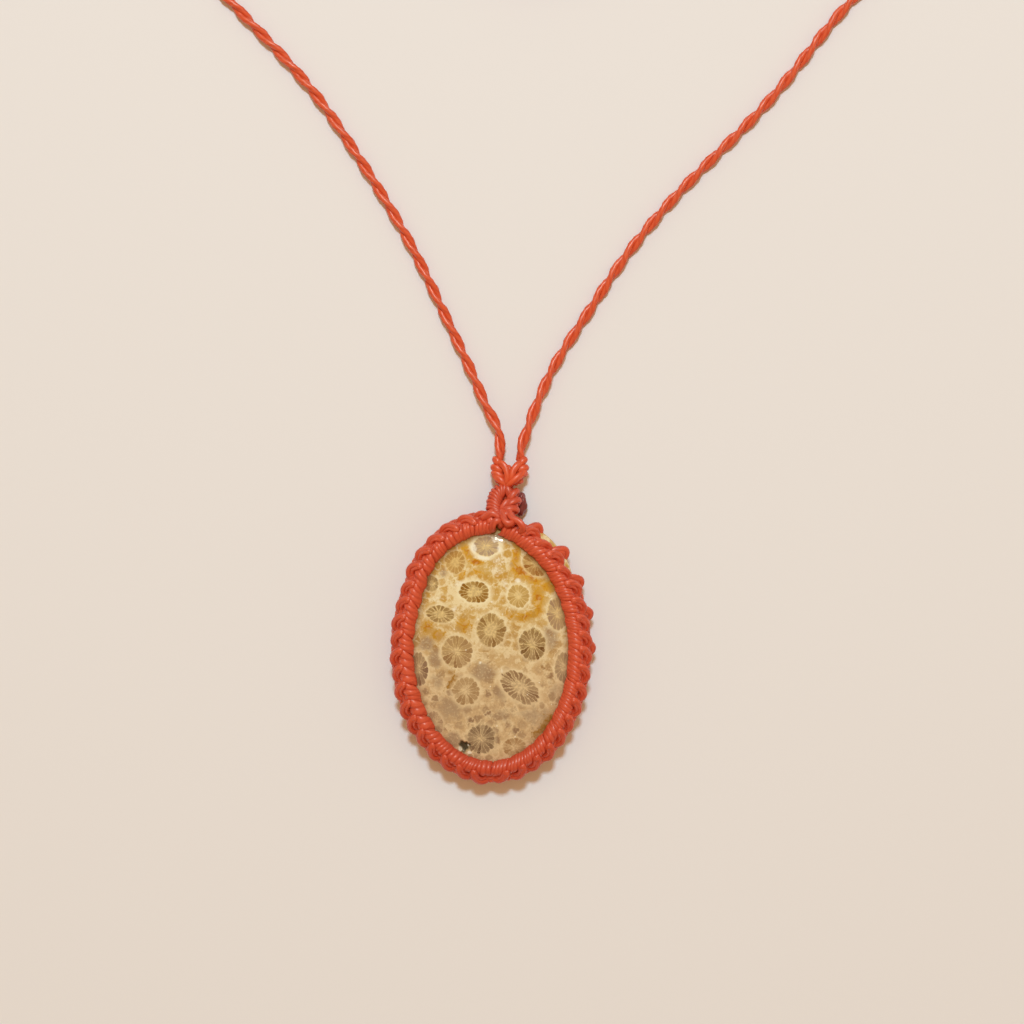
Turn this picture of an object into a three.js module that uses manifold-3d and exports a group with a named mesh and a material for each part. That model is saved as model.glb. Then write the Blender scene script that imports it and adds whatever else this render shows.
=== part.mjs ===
// Fossil coral pendant on a twisted cord: an oval polished cabochon held in a knotted cord
// setting with a wrapped bail, lying on its back. Millimetres, +X right, +Y towards the bail,
// +Z out of the stone's face. The pendant is drawn about the centre of the oval.
import * as THREE from 'three';
import { ParametricGeometry } from 'three/addons/geometries/ParametricGeometry.js';
import { mergeVertices } from 'three/addons/utils/BufferGeometryUtils.js';
import Module from 'manifold-3d';

// Stone
const STONE_HALF_WIDTH = 14.2;
const STONE_HALF_LENGTH = 19.2;
const STONE_BACK_Z = 1.7;
const STONE_BEVEL_Z = 2.3;
const STONE_GIRDLE_Z = 3.3;
const STONE_DOME_HEIGHT = 3.6;
const STONE_BACK_SHARE = 0.955;
const STONE_SIDES = 40;
const STONE_DOME_STEPS = 7;

// Knotted setting
const KNOT_COUNT = 40;
const FRONT_STEPS_PER_KNOT = 4;
const BACK_STEPS_PER_KNOT = 3;
const RING_BED_OFFSET = -1.3;
const EAR_ANGLES_DEG = [0, 15.6, 31, 48, 65];
const EAR_REACH = 1.15;
const EAR_SPREAD_DEG = 2.6;
const SETTING_GAP = 0.3;

// Bail
const BAIL_CENTRE = new THREE.Vector3(1.87, 21.95, 3.4);
const BAIL_HALF_WIDTH = 1.65;
const BAIL_HALF_LENGTH = 1.4;
const BAIL_TUBE = 1.05;
const BAIL_TUBE_HEIGHT = 0.95;
const BAIL_WRAPS = 11;
const BAIL_STEPS_PER_WRAP = 3;
const BAIL_SIDES = 8;
const MELTED_END_CENTRE = new THREE.Vector3(4.55, 21.8, 1.15);
const MELTED_END_HALF = new THREE.Vector3(0.85, 1.75, 0.9);

// Necklace
const CORD_DIAMETER = 1.6;
const CORD_SIDES = 8;
const CORD_REST_Z = 0.85;
const KNOT_HALF = new THREE.Vector3(1.1, 1.8, 1.15);
const LEFT_KNOT_CENTRE = new THREE.Vector3(1.3, 26.45, 2.6);
const RIGHT_KNOT_CENTRE = new THREE.Vector3(4.2, 26.45, 2.6);
const KNOT_LEAN_DEG = 14;
const FOLD_CENTRE = new THREE.Vector3(2.75, 25.45, 2.6);
const FOLD_HALF = new THREE.Vector3(1.35, 0.75, 0.85);
const CORD_STEP = 4.8;
const COIL_CENTRE = new THREE.Vector3(7.4, 113.65, 0);
const COIL_INNER_RADIUS = 5.2;
const COIL_OUTER_RADIUS = 11.85;
const COIL_HEIGHT = 3.3;
const COIL_SIDES = 24;

const LEFT_ROUTE = [
  [1.35, 28.6, 2.5],
  [1.35, 30.5, 2.3],
  [0.85, 33.6, 2.0],
  [-0.45, 35.95, 1.75],
  [-1.5, 38.35, 1.5],
  [-2.45, 40.6, 1.3],
  [-6.8, 50.0, CORD_REST_Z],
  [-11.25, 59.3, CORD_REST_Z],
  [-17.1, 69.6, CORD_REST_Z],
  [-20.85, 75.5, CORD_REST_Z],
  [-26.9, 84.2, CORD_REST_Z],
  [-32.05, 90.15, CORD_REST_Z],
  [-37.15, 95.5, CORD_REST_Z],
  [-39.7, 98.2, CORD_REST_Z],
  [-42.6, 101.6, CORD_REST_Z],
  [-44.2, 105.8, CORD_REST_Z],
  [-43.6, 110.6, CORD_REST_Z],
  [-40.4, 115.2, CORD_REST_Z],
  [-34.8, 118.8, CORD_REST_Z],
  [-26.5, 121.6, CORD_REST_Z],
  [-16.5, 123.6, CORD_REST_Z],
  [-6.5, 124.5, CORD_REST_Z],
  [0.8, 124.65, CORD_REST_Z],
];
const RIGHT_ROUTE = [
  [4.4, 28.6, 2.5],
  [4.6, 30.6, 2.3],
  [5.4, 32.9, 2.05],
  [6.0, 34.75, 1.85],
  [6.95, 37.1, 1.6],
  [8.45, 40.6, 1.3],
  [14.1, 50.0, CORD_REST_Z],
  [20.3, 59.3, CORD_REST_Z],
  [24.65, 64.8, CORD_REST_Z],
  [29.5, 70.15, CORD_REST_Z],
  [34.35, 75.0, CORD_REST_Z],
  [39.5, 80.15, CORD_REST_Z],
  [43.85, 85.0, CORD_REST_Z],
  [48.2, 90.45, CORD_REST_Z],
  [52.75, 96.1, CORD_REST_Z],
  [54.65, 98.2, CORD_REST_Z],
  [57.6, 101.7, CORD_REST_Z],
  [59.3, 105.8, CORD_REST_Z],
  [58.8, 110.4, CORD_REST_Z],
  [55.7, 114.8, CORD_REST_Z],
  [49.8, 118.6, CORD_REST_Z],
  [41.5, 121.6, CORD_REST_Z],
  [31.5, 123.6, 1.1],
  [21.5, 124.5, 1.7],
  [14.0, 124.65, 2.3],
];

const CORAL = new THREE.MeshStandardMaterial({ color: 0xcdb07c, roughness: 0.25, metalness: 0 });
const SETTING_CORD = new THREE.MeshStandardMaterial({ color: 0xcb4c38, roughness: 0.5, metalness: 0 });
const NECKLACE_CORD = new THREE.MeshStandardMaterial({ color: 0xd14b2e, roughness: 0.5, metalness: 0 });
const MELTED_CORD = new THREE.MeshStandardMaterial({ color: 0x74302f, roughness: 0.4, metalness: 0 });

// Each row of the profile: outward from the girdle, up, and how far a knot swells both ways.
// The front row's heights count from the bed under its ring, the back row's from the table.
const FRONT_PROFILE = [
  [-2.4, 0.82, -0.15, 0.02],
  [-2.45, 1.32, -0.1, 0.1],
  [-1.95, 1.75, -0.05, 0.22],
  [-1.15, 1.8, 0, 0.22],
  [-0.35, 1.3, 0.1, 0.16],
  [0.1, 0.7, 0.12, 0.05],
  [0.52, 0.2, 0.48, 0.08],
  [0.58, -0.75, 0.5, 0],
  [0.45, -1.5, 0.3, 0],
  [0.25, -1.5, 0, 0],
  [-0.4, -0.2, 0, 0],
  [-1.35, 0.3, 0, 0],
];
const BACK_PROFILE = [
  [-2.3, 0, 0, 0],
  [-2.5, 0.75, -0.1, 0],
  [-1.9, 1.38, 0, 0],
  [-0.55, 1.4, 0, 0],
  [0.25, 2.0, 0, 0],
  [0.25, 2.72, 0, 0],
  [0.48, 2.72, 0.35, 0],
  [0.66, 1.9, 0.45, 0],
  [0.52, 0.85, 0.42, 0],
  [0, 0.35, 0.15, 0],
  [-0.45, 0, 0, 0],
];

const wasm = await Module();
wasm.setup();

const girdle = new THREE.EllipseCurve(0, 0, STONE_HALF_WIDTH, STONE_HALF_LENGTH, 0, 2 * Math.PI);
girdle.arcLengthDivisions = 1440;

function toSolid(geometry) {
  const plain = geometry.clone();
  plain.deleteAttribute('normal');
  plain.deleteAttribute('uv');
  const merged = mergeVertices(plain, 1e-4);
  const vertProperties = new Float32Array(merged.attributes.position.array);
  const triVerts = new Uint32Array(merged.index.array);
  return new wasm.Manifold(new wasm.Mesh({ numProp: 3, vertProperties, triVerts }));
}

function toGeometry(solid) {
  const { vertProperties, triVerts } = solid.getMesh();
  const geometry = new THREE.BufferGeometry();
  geometry.setAttribute('position', new THREE.BufferAttribute(vertProperties, 3));
  geometry.setIndex(new THREE.BufferAttribute(triVerts, 1));
  geometry.computeVertexNormals();
  return geometry;
}

function ellipsoid(half, centre, leanDeg) {
  const geometry = new THREE.SphereGeometry(1, 12, 8);
  geometry.scale(half.x, half.y, half.z);
  geometry.rotateZ(THREE.MathUtils.degToRad(leanDeg));
  geometry.translate(centre.x, centre.y, centre.z);
  return geometry;
}

// Height of the stone's dome over a point of the plan.
function domeHeight(x, y) {
  const share = (x / STONE_HALF_WIDTH) ** 2 + (y / STONE_HALF_LENGTH) ** 2;
  return STONE_GIRDLE_Z + STONE_DOME_HEIGHT * Math.sqrt(Math.max(0, 1 - share));
}

// Point of the girdle at a share of its length, with the outward direction there.
function girdleAt(share) {
  const point = girdle.getPointAt(share);
  const tangent = girdle.getTangentAt(share);
  return { point, outward: new THREE.Vector2(tangent.y, -tangent.x) };
}

// Swell of the knot that a step along the row belongs to: none in the crease between two knots.
function knotSwell(step, stepsPerKnot) {
  return Math.sin((Math.PI * (step % stepsPerKnot)) / stepsPerKnot);
}

// How far the loops on the right-hand side stand out at a direction of the girdle.
function earReach(point) {
  const angle = Math.atan2(point.y / STONE_HALF_LENGTH, point.x / STONE_HALF_WIDTH);
  const degrees = THREE.MathUtils.radToDeg(angle);
  let reach = 0;
  for (const ear of EAR_ANGLES_DEG) {
    reach = Math.max(reach, EAR_REACH * Math.exp(-(((degrees - ear) / EAR_SPREAD_DEG) ** 2)));
  }
  return reach;
}

// A row of knots: a profile carried round the girdle, swelling at each knot.
function knotRow(profile, stepsPerKnot, bedAt, reachAt) {
  const steps = KNOT_COUNT * stepsPerKnot;
  const count = profile.length;
  const place = (u, v, target) => {
    const step = Math.round(u * steps) % steps;
    const [out, up, swellOut, swellUp] = profile[(count - Math.round(v * count)) % count];
    const { point, outward } = girdleAt(step / steps);
    const swell = knotSwell(step, stepsPerKnot);
    const reach = swellOut > 0.4 ? reachAt(point) : 0;
    const offset = out + swellOut * swell + reach;
    const height = bedAt(point, outward) + up + swellUp * swell;
    target.set(point.x + outward.x * offset, point.y + outward.y * offset, height);
  };
  return new ParametricGeometry(place, steps, count);
}

function frontBed(point, outward) {
  const x = point.x + outward.x * RING_BED_OFFSET;
  const y = point.y + outward.y * RING_BED_OFFSET;
  return domeHeight(x, y);
}

function stoneGeometry() {
  const profile = [
    new THREE.Vector2(0, STONE_BACK_Z),
    new THREE.Vector2(STONE_BACK_SHARE, STONE_BACK_Z),
    new THREE.Vector2(1, STONE_BEVEL_Z),
  ];
  for (let step = 0; step <= STONE_DOME_STEPS; step += 1) {
    const angle = (Math.PI / 2) * (step / STONE_DOME_STEPS);
    const radius = step === STONE_DOME_STEPS ? 0 : Math.cos(angle);
    profile.push(new THREE.Vector2(radius, STONE_GIRDLE_Z + STONE_DOME_HEIGHT * Math.sin(angle)));
  }
  const geometry = new THREE.LatheGeometry(profile, STONE_SIDES);
  geometry.rotateX(Math.PI / 2);
  geometry.scale(STONE_HALF_WIDTH, STONE_HALF_LENGTH, 1);
  return geometry;
}

// The bail's loop, its tube swelling at each wrap of cord.
function bailGeometry() {
  const steps = BAIL_WRAPS * BAIL_STEPS_PER_WRAP;
  const place = (u, v, target) => {
    const step = Math.round(u * steps) % steps;
    const side = Math.round(v * BAIL_SIDES) % BAIL_SIDES;
    const along = (2 * Math.PI * step) / steps;
    const around = (2 * Math.PI * (side + 0.5)) / BAIL_SIDES;
    const swell = 0.86 + 0.14 * knotSwell(step, BAIL_STEPS_PER_WRAP);
    const out = BAIL_TUBE * swell * Math.cos(around);
    const up = BAIL_TUBE_HEIGHT * swell * Math.sin(around);
    const x = (BAIL_HALF_WIDTH + out) * Math.cos(along);
    const y = (BAIL_HALF_LENGTH + out) * Math.sin(along);
    target.set(BAIL_CENTRE.x + x, BAIL_CENTRE.y + y, BAIL_CENTRE.z + up);
  };
  return new ParametricGeometry(place, steps, BAIL_SIDES);
}

// The room that the foot of the bail takes up between the rows of knots.
function bailSeat() {
  const half = new THREE.Vector3(
    BAIL_HALF_WIDTH + BAIL_TUBE + SETTING_GAP,
    BAIL_HALF_LENGTH + BAIL_TUBE + SETTING_GAP,
    2 * (BAIL_TUBE_HEIGHT + SETTING_GAP),
  );
  const geometry = new THREE.CylinderGeometry(1, 1, 1, 24);
  geometry.rotateX(Math.PI / 2);
  geometry.scale(half.x, half.y, half.z);
  geometry.translate(BAIL_CENTRE.x, BAIL_CENTRE.y, BAIL_CENTRE.z);
  return toSolid(geometry);
}

function knotGeometry() {
  const left = toSolid(ellipsoid(KNOT_HALF, LEFT_KNOT_CENTRE, KNOT_LEAN_DEG));
  const right = toSolid(ellipsoid(KNOT_HALF, RIGHT_KNOT_CENTRE, -KNOT_LEAN_DEG));
  const fold = toSolid(ellipsoid(FOLD_HALF, FOLD_CENTRE, 0));
  return toGeometry(left.add(fold).add(right));
}

function cordGeometry(route) {
  const path = new THREE.CatmullRomCurve3(route.map((p) => new THREE.Vector3(...p)), false, 'centripetal');
  const section = new THREE.Shape();
  section.absarc(0, 0, CORD_DIAMETER / 2, 0, 2 * Math.PI, false);
  const steps = Math.round(path.getLength() / CORD_STEP);
  return new THREE.ExtrudeGeometry(section, {
    steps,
    curveSegments: CORD_SIDES / 2,
    bevelEnabled: false,
    extrudePath: path,
  });
}

// The put-away length of the cord, as the plain ring that its turns fill.
function coilGeometry() {
  const ease = 0.7;
  const profile = [
    new THREE.Vector2(COIL_INNER_RADIUS + ease, 0),
    new THREE.Vector2(COIL_OUTER_RADIUS - ease, 0),
    new THREE.Vector2(COIL_OUTER_RADIUS, ease),
    new THREE.Vector2(COIL_OUTER_RADIUS, COIL_HEIGHT - ease),
    new THREE.Vector2(COIL_OUTER_RADIUS - ease, COIL_HEIGHT),
    new THREE.Vector2(COIL_INNER_RADIUS + ease, COIL_HEIGHT),
    new THREE.Vector2(COIL_INNER_RADIUS, COIL_HEIGHT - ease),
    new THREE.Vector2(COIL_INNER_RADIUS, ease),
    new THREE.Vector2(COIL_INNER_RADIUS + ease, 0),
  ];
  const geometry = new THREE.LatheGeometry(profile, COIL_SIDES);
  geometry.rotateX(Math.PI / 2);
  geometry.translate(COIL_CENTRE.x, COIL_CENTRE.y, COIL_CENTRE.z);
  return geometry;
}

function named(name, geometry, material) {
  const mesh = new THREE.Mesh(geometry, material);
  mesh.name = name;
  return mesh;
}

const frontRow = knotRow(FRONT_PROFILE, FRONT_STEPS_PER_KNOT, frontBed, () => 0);
const backRow = knotRow(BACK_PROFILE, BACK_STEPS_PER_KNOT, () => 0, earReach);
const seat = bailSeat();

const pendant = new THREE.Group();
pendant.add(named('stone', stoneGeometry(), CORAL));
pendant.add(named('front_row', toGeometry(toSolid(frontRow).subtract(seat)), SETTING_CORD));
pendant.add(named('back_row', toGeometry(toSolid(backRow).subtract(seat)), SETTING_CORD));
pendant.add(named('bail', bailGeometry(), SETTING_CORD));
pendant.add(named('melted_end', ellipsoid(MELTED_END_HALF, MELTED_END_CENTRE, 0), MELTED_CORD));

const necklace = new THREE.Group();
necklace.add(named('necklace_knot', knotGeometry(), NECKLACE_CORD));
necklace.add(named('necklace_left', cordGeometry(LEFT_ROUTE), NECKLACE_CORD));
necklace.add(named('necklace_right', cordGeometry(RIGHT_ROUTE), NECKLACE_CORD));
necklace.add(named('necklace_coil', coilGeometry(), NECKLACE_CORD));

// The origin goes to the bottom centre of the pendant without its necklace.
const bounds = new THREE.Box3().setFromObject(pendant, true);
const centre = bounds.getCenter(new THREE.Vector3());
const object = new THREE.Group();
object.position.set(-centre.x, -centre.y, -bounds.min.z);
object.add(pendant);
object.add(necklace);

const root = new THREE.Group();
root.add(object);

export default root;
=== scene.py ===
"""Fossil coral pendant necklace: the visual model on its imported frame.

Shapes are worked out in millimetres about the centre of the oval, +X right, +Y towards the bail and
+Z out of the stone's face, and are moved to the row frame in metres when a mesh is made.
"""

import logging
import math
from dataclasses import dataclass
from enum import Enum

import bmesh
import bpy
import numpy as np
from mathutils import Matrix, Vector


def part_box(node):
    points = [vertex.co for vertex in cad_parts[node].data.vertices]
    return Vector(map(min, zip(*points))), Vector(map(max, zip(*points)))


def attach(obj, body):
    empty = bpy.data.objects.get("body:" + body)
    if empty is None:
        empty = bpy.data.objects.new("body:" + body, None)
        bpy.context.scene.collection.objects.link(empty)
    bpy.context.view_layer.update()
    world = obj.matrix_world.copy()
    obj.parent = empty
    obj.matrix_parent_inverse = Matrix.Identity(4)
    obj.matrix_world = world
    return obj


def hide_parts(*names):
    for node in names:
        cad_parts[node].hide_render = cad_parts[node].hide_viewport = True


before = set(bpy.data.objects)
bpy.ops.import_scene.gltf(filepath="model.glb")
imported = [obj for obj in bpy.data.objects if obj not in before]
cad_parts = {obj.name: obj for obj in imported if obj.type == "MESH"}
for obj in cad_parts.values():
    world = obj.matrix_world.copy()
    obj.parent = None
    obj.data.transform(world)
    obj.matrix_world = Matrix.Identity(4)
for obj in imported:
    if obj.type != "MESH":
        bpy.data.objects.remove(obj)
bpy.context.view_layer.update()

Array = np.ndarray
Colour = tuple[float, float, float, float]
Socket = bpy.types.NodeSocket
Sockets = bpy.types.bpy_prop_collection
MM = 0.001
UP = np.array([0.0, 0.0, 1.0])
BODY = "root"
WELD_DISTANCE = 1e-8
ROUTE_OVERSAMPLE = 4
OVAL_STEPS = 4096
RING_STEPS = 240
TURN_POINTS = 22
TURN_HEIGHT = 0.88
STRAND_POINTS = 29
LOG = logging.getLogger("pendant")


def linear(red: int, green: int, blue: int) -> Colour:
    """Turn a display colour into linear light.

    Args:
        red: Red, 0 to 255.
        green: Green, 0 to 255.
        blue: Blue, 0 to 255.

    Returns:
        The linear colour with full opacity.
    """
    shares = [value / 255 for value in (red, green, blue)]
    lit = [s / 12.92 if s <= 0.04045 else ((s + 0.055) / 1.055) ** 2.4 for s in shares]
    return (lit[0], lit[1], lit[2], 1.0)


def unit(vectors: Array) -> Array:
    """Scale vectors along the last axis to length one."""
    return vectors / np.maximum(np.linalg.norm(vectors, axis=-1, keepdims=True), 1e-9)


def upward(points: Array) -> Array:
    """Give every point the upward direction."""
    return np.broadcast_to(UP, points.shape)


def ring_quads(rows: int, sectors: int) -> Array:
    """Join rings of points into a skin of four-sided faces.

    Args:
        rows: How many bands lie between the rings.
        sectors: How many points a ring has.

    Returns:
        Vertex indices, shape (faces, 4).
    """
    row, side = np.meshgrid(np.arange(rows), np.arange(sectors), indexing="ij")
    first = row * sectors + side
    second = row * sectors + (side + 1) % sectors
    return np.stack([first, first + sectors, second + sectors, second], axis=-1).reshape(-1, 4)


def smooth_path(control: Array, count: int) -> Array:
    """Draw a smooth curve through control points.

    Between two control points the curve is the cubic whose slope at each of them is half the step from
    the point before to the point after.

    Args:
        control: Control points, shape (..., points, 3).
        count: How many points to take along the curve.

    Returns:
        Points of the curve, shape (..., count, 3).
    """
    before = 2 * control[..., :1, :] - control[..., 1:2, :]
    after = 2 * control[..., -1:, :] - control[..., -2:-1, :]
    held = np.concatenate([before, control, after], axis=-2)
    place = np.linspace(0, control.shape[-2] - 1, count)
    index = np.minimum(place.astype(int), control.shape[-2] - 2)
    step = (place - index)[:, None]
    p0, p1, p2, p3 = (held[..., index + k, :] for k in range(4))
    cubic = (3 * p1 - p0 - 3 * p2 + p3) * step**3
    square = (2 * p0 - 5 * p1 + 4 * p2 - p3) * step**2
    return 0.5 * (2 * p1 + (p2 - p0) * step + square + cubic)


def spline_route(points: Array, step: float) -> Array:
    """Draw the smoothest curve through the points of a long route, at even steps of its length.

    The curve is a natural cubic spline over the chord length: the second derivatives at the points
    solve the linear system that makes slope and curvature continuous, with none at the ends.

    Args:
        points: Points of the route, shape (n, 3).
        step: Distance between two points of the result.

    Returns:
        Points of the curve, shape (m, 3).
    """
    chord = np.concatenate([[0.0], np.cumsum(np.linalg.norm(np.diff(points, axis=0), axis=1))])
    gap = np.diff(chord)
    count = len(points)
    rows = np.arange(1, count - 1)
    system = np.eye(count)
    system[rows, rows - 1] = gap[:-1]
    system[rows, rows] = 2 * (gap[:-1] + gap[1:])
    system[rows, rows + 1] = gap[1:]
    slope = np.diff(points, axis=0) / gap[:, None]
    right = np.zeros_like(points)
    right[1:-1] = 6 * np.diff(slope, axis=0)
    bend = np.linalg.solve(system, right)
    fine = np.linspace(0, chord[-1], int(chord[-1] / step) * ROUTE_OVERSAMPLE)
    index = np.clip(np.searchsorted(chord, fine, side="right") - 1, 0, count - 2)
    run, size = (fine - chord[index])[:, None], gap[index][:, None]
    line = points[index] + run * (slope[index] - size * (2 * bend[index] + bend[index + 1]) / 6)
    curve = line + run**2 * bend[index] / 2 + run**3 * (bend[index + 1] - bend[index]) / (6 * size)
    length = np.concatenate([[0.0], np.cumsum(np.linalg.norm(np.diff(curve, axis=0), axis=1))])
    even = np.linspace(0, length[-1], int(round(length[-1] / step)) + 1)
    return np.stack([np.interp(even, length, curve[:, axis]) for axis in range(3)], axis=1)


@dataclass
class Surface:
    """Vertices, four-sided faces, texture coordinates and strand tones of a surface."""

    vertices: Array
    quads: Array
    uvs: Array
    tones: Array

    @staticmethod
    def joined(parts: list["Surface"]) -> "Surface":
        """Put several surfaces into one.

        Args:
            parts: The surfaces.

        Returns:
            One surface that holds them all.
        """
        counts = np.cumsum([0] + [len(part.vertices) for part in parts])
        return Surface(
            np.concatenate([part.vertices for part in parts]),
            np.concatenate([part.quads + start for part, start in zip(parts, counts)]),
            np.concatenate([part.uvs for part in parts]),
            np.concatenate([part.tones for part in parts]),
        )


@dataclass(frozen=True)
class Strand:
    """Section of a strand: half its width and thickness, the plies twisted into it and its taper."""

    half_width: float
    half_height: float
    sides: int = 10
    plies: int = 3
    ply_depth: float = 0.1
    ply_turn: float = 3.2
    taper: float = 0.85


def sweep(
    points: Array,
    normals: Array,
    strand: Strand,
    tones: Array,
    closed: bool = False,
    scale: Array | float = 1.0,
) -> Surface:
    """Carry a strand's section along many centrelines at once.

    Each section is an ellipse across the centreline, with its thickness along the given normal. Its
    radius dips between the plies: by the ply depth times half of one minus the cosine of the number
    of plies times the angle round the section plus a phase that grows along the strand. The ends of
    open strands close to a point.

    Args:
        points: Centrelines, shape (strands, points, 3).
        normals: Directions of the thickness, same shape.
        strand: The section.
        tones: One number per strand that shifts its colour.
        closed: Whether each centreline closes on itself.
        scale: Factor on the section, per strand and point or one for all.

    Returns:
        The tubes as one surface.
    """
    strands, count = points.shape[:2]
    if closed:
        ahead, behind = np.roll(points, -1, axis=1), np.roll(points, 1, axis=1)
        along = unit(ahead - behind)
    else:
        along = unit(np.gradient(points, axis=1))
    normals = unit(normals - np.sum(normals * along, axis=-1, keepdims=True) * along)
    across = np.cross(along, normals)
    last = points[:, :1] if closed else points[:, -1:]
    steps = np.linalg.norm(np.diff(points, axis=1, append=last), axis=-1)
    run = np.concatenate([np.zeros((strands, 1)), np.cumsum(steps, axis=1)], axis=1)
    angle = 2 * np.pi * np.arange(strand.sides) / strand.sides
    size = np.ones((strands, count)) * scale
    if not closed:
        size[:, [0, -1]] = 0.0
        size[:, [1, -2]] *= strand.taper
    phase = strand.plies * angle + 2 * np.pi * run[:, :count, None] / strand.ply_turn
    radius = size[..., None] * (1 - strand.ply_depth * (0.5 - 0.5 * np.cos(phase)))
    high = (strand.half_height * radius * np.cos(angle))[..., None] * normals[:, :, None]
    wide = (strand.half_width * radius * np.sin(angle))[..., None] * across[:, :, None]
    vertices = (points[:, :, None] + high + wide).reshape(-1, 3)
    spans = count if closed else count - 1
    s, p, k = np.meshgrid(np.arange(strands), np.arange(spans), np.arange(strand.sides), indexing="ij")
    p_next, k_next = (p + 1) % count, (k + 1) % strand.sides

    def corner(row: Array, side: Array) -> Array:
        """Index of a vertex by its row along the strand and its side round it."""
        return (s * count + row) * strand.sides + side

    near = [corner(p, k), corner(p, k_next)]
    far = [corner(p_next, k_next), corner(p_next, k)]
    quads = np.stack(near + far, axis=-1)
    around = np.stack([k, k + 1, k + 1, k], axis=-1) / strand.sides
    here, there = run[s, p], run[s, p + 1]
    length = np.stack([here, here, there, there], axis=-1)
    uvs = np.stack([around, length], axis=-1)
    shade = np.repeat(np.asarray(tones, float), count * strand.sides)
    return Surface(vertices, quads.reshape(-1, 4), uvs.reshape(-1, 4, 2), shade)


@dataclass(frozen=True)
class Oval:
    """The stone's outline and dome, from the box of its CAD node."""

    centre_x: float
    centre_y: float
    half_width: float
    half_length: float
    back_z: float
    top_z: float
    bevel_z: float = 2.3
    girdle_z: float = 3.3
    back_share: float = 0.955

    @classmethod
    def from_node(cls, node: str) -> "Oval":
        """Read the oval from a CAD node.

        Args:
            node: Name of the stone's node.

        Returns:
            The oval, in millimetres.
        """
        low, high = (np.array(corner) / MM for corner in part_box(node))
        middle, half = (low + high) / 2, (high - low) / 2
        return cls(middle[0], middle[1], half[0], half[1], low[2], high[2])

    @property
    def dome_height(self) -> float:
        """Height of the dome over the girdle, in millimetres."""
        return self.top_z - self.girdle_z

    def table(self) -> tuple[Array, Array]:
        """List angles of the oval against the share of its length.

        Returns:
            Angles of the oval's parameter, and the share of the length at each.
        """
        angle = np.linspace(0, 2 * np.pi, OVAL_STEPS + 1)
        outline = np.stack([self.half_width * np.cos(angle), self.half_length * np.sin(angle)], axis=1)
        length = np.concatenate([[0], np.cumsum(np.linalg.norm(np.diff(outline, axis=0), axis=1))])
        return angle, length / length[-1]

    def perimeter(self) -> float:
        """Length of the girdle in millimetres, by the usual close formula for an ellipse."""
        a, b = self.half_width, self.half_length
        return math.pi * (3 * (a + b) - math.sqrt((3 * a + b) * (a + 3 * b)))

    def share_at(self, degrees: Array) -> Array:
        """Share of the length at angles of the oval's parameter, 0 at +X and growing counterclockwise."""
        angle, share = self.table()
        return np.interp(np.radians(degrees), angle, share)

    def at(self, share: Array) -> tuple[Array, Array]:
        """Find points of the girdle and the outward direction there.

        Args:
            share: Shares of the girdle's length.

        Returns:
            Points at height 0 and outward unit vectors, shape share.shape + (3,).
        """
        angle, shares = self.table()
        turn = np.interp(np.mod(share, 1.0), shares, angle)
        flat = np.zeros_like(turn)
        point = np.stack([self.half_width * np.cos(turn), self.half_length * np.sin(turn), flat], axis=-1)
        outward = np.stack([self.half_length * np.cos(turn), self.half_width * np.sin(turn), flat], axis=-1)
        return point, unit(outward)

    def dome_z(self, x: Array, y: Array) -> Array:
        """Height of the dome at places across and along: half an ellipsoid on the girdle."""
        share = (x / self.half_width) ** 2 + (y / self.half_length) ** 2
        return self.girdle_z + self.dome_height * np.sqrt(np.clip(1 - share, 0, 1))


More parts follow.
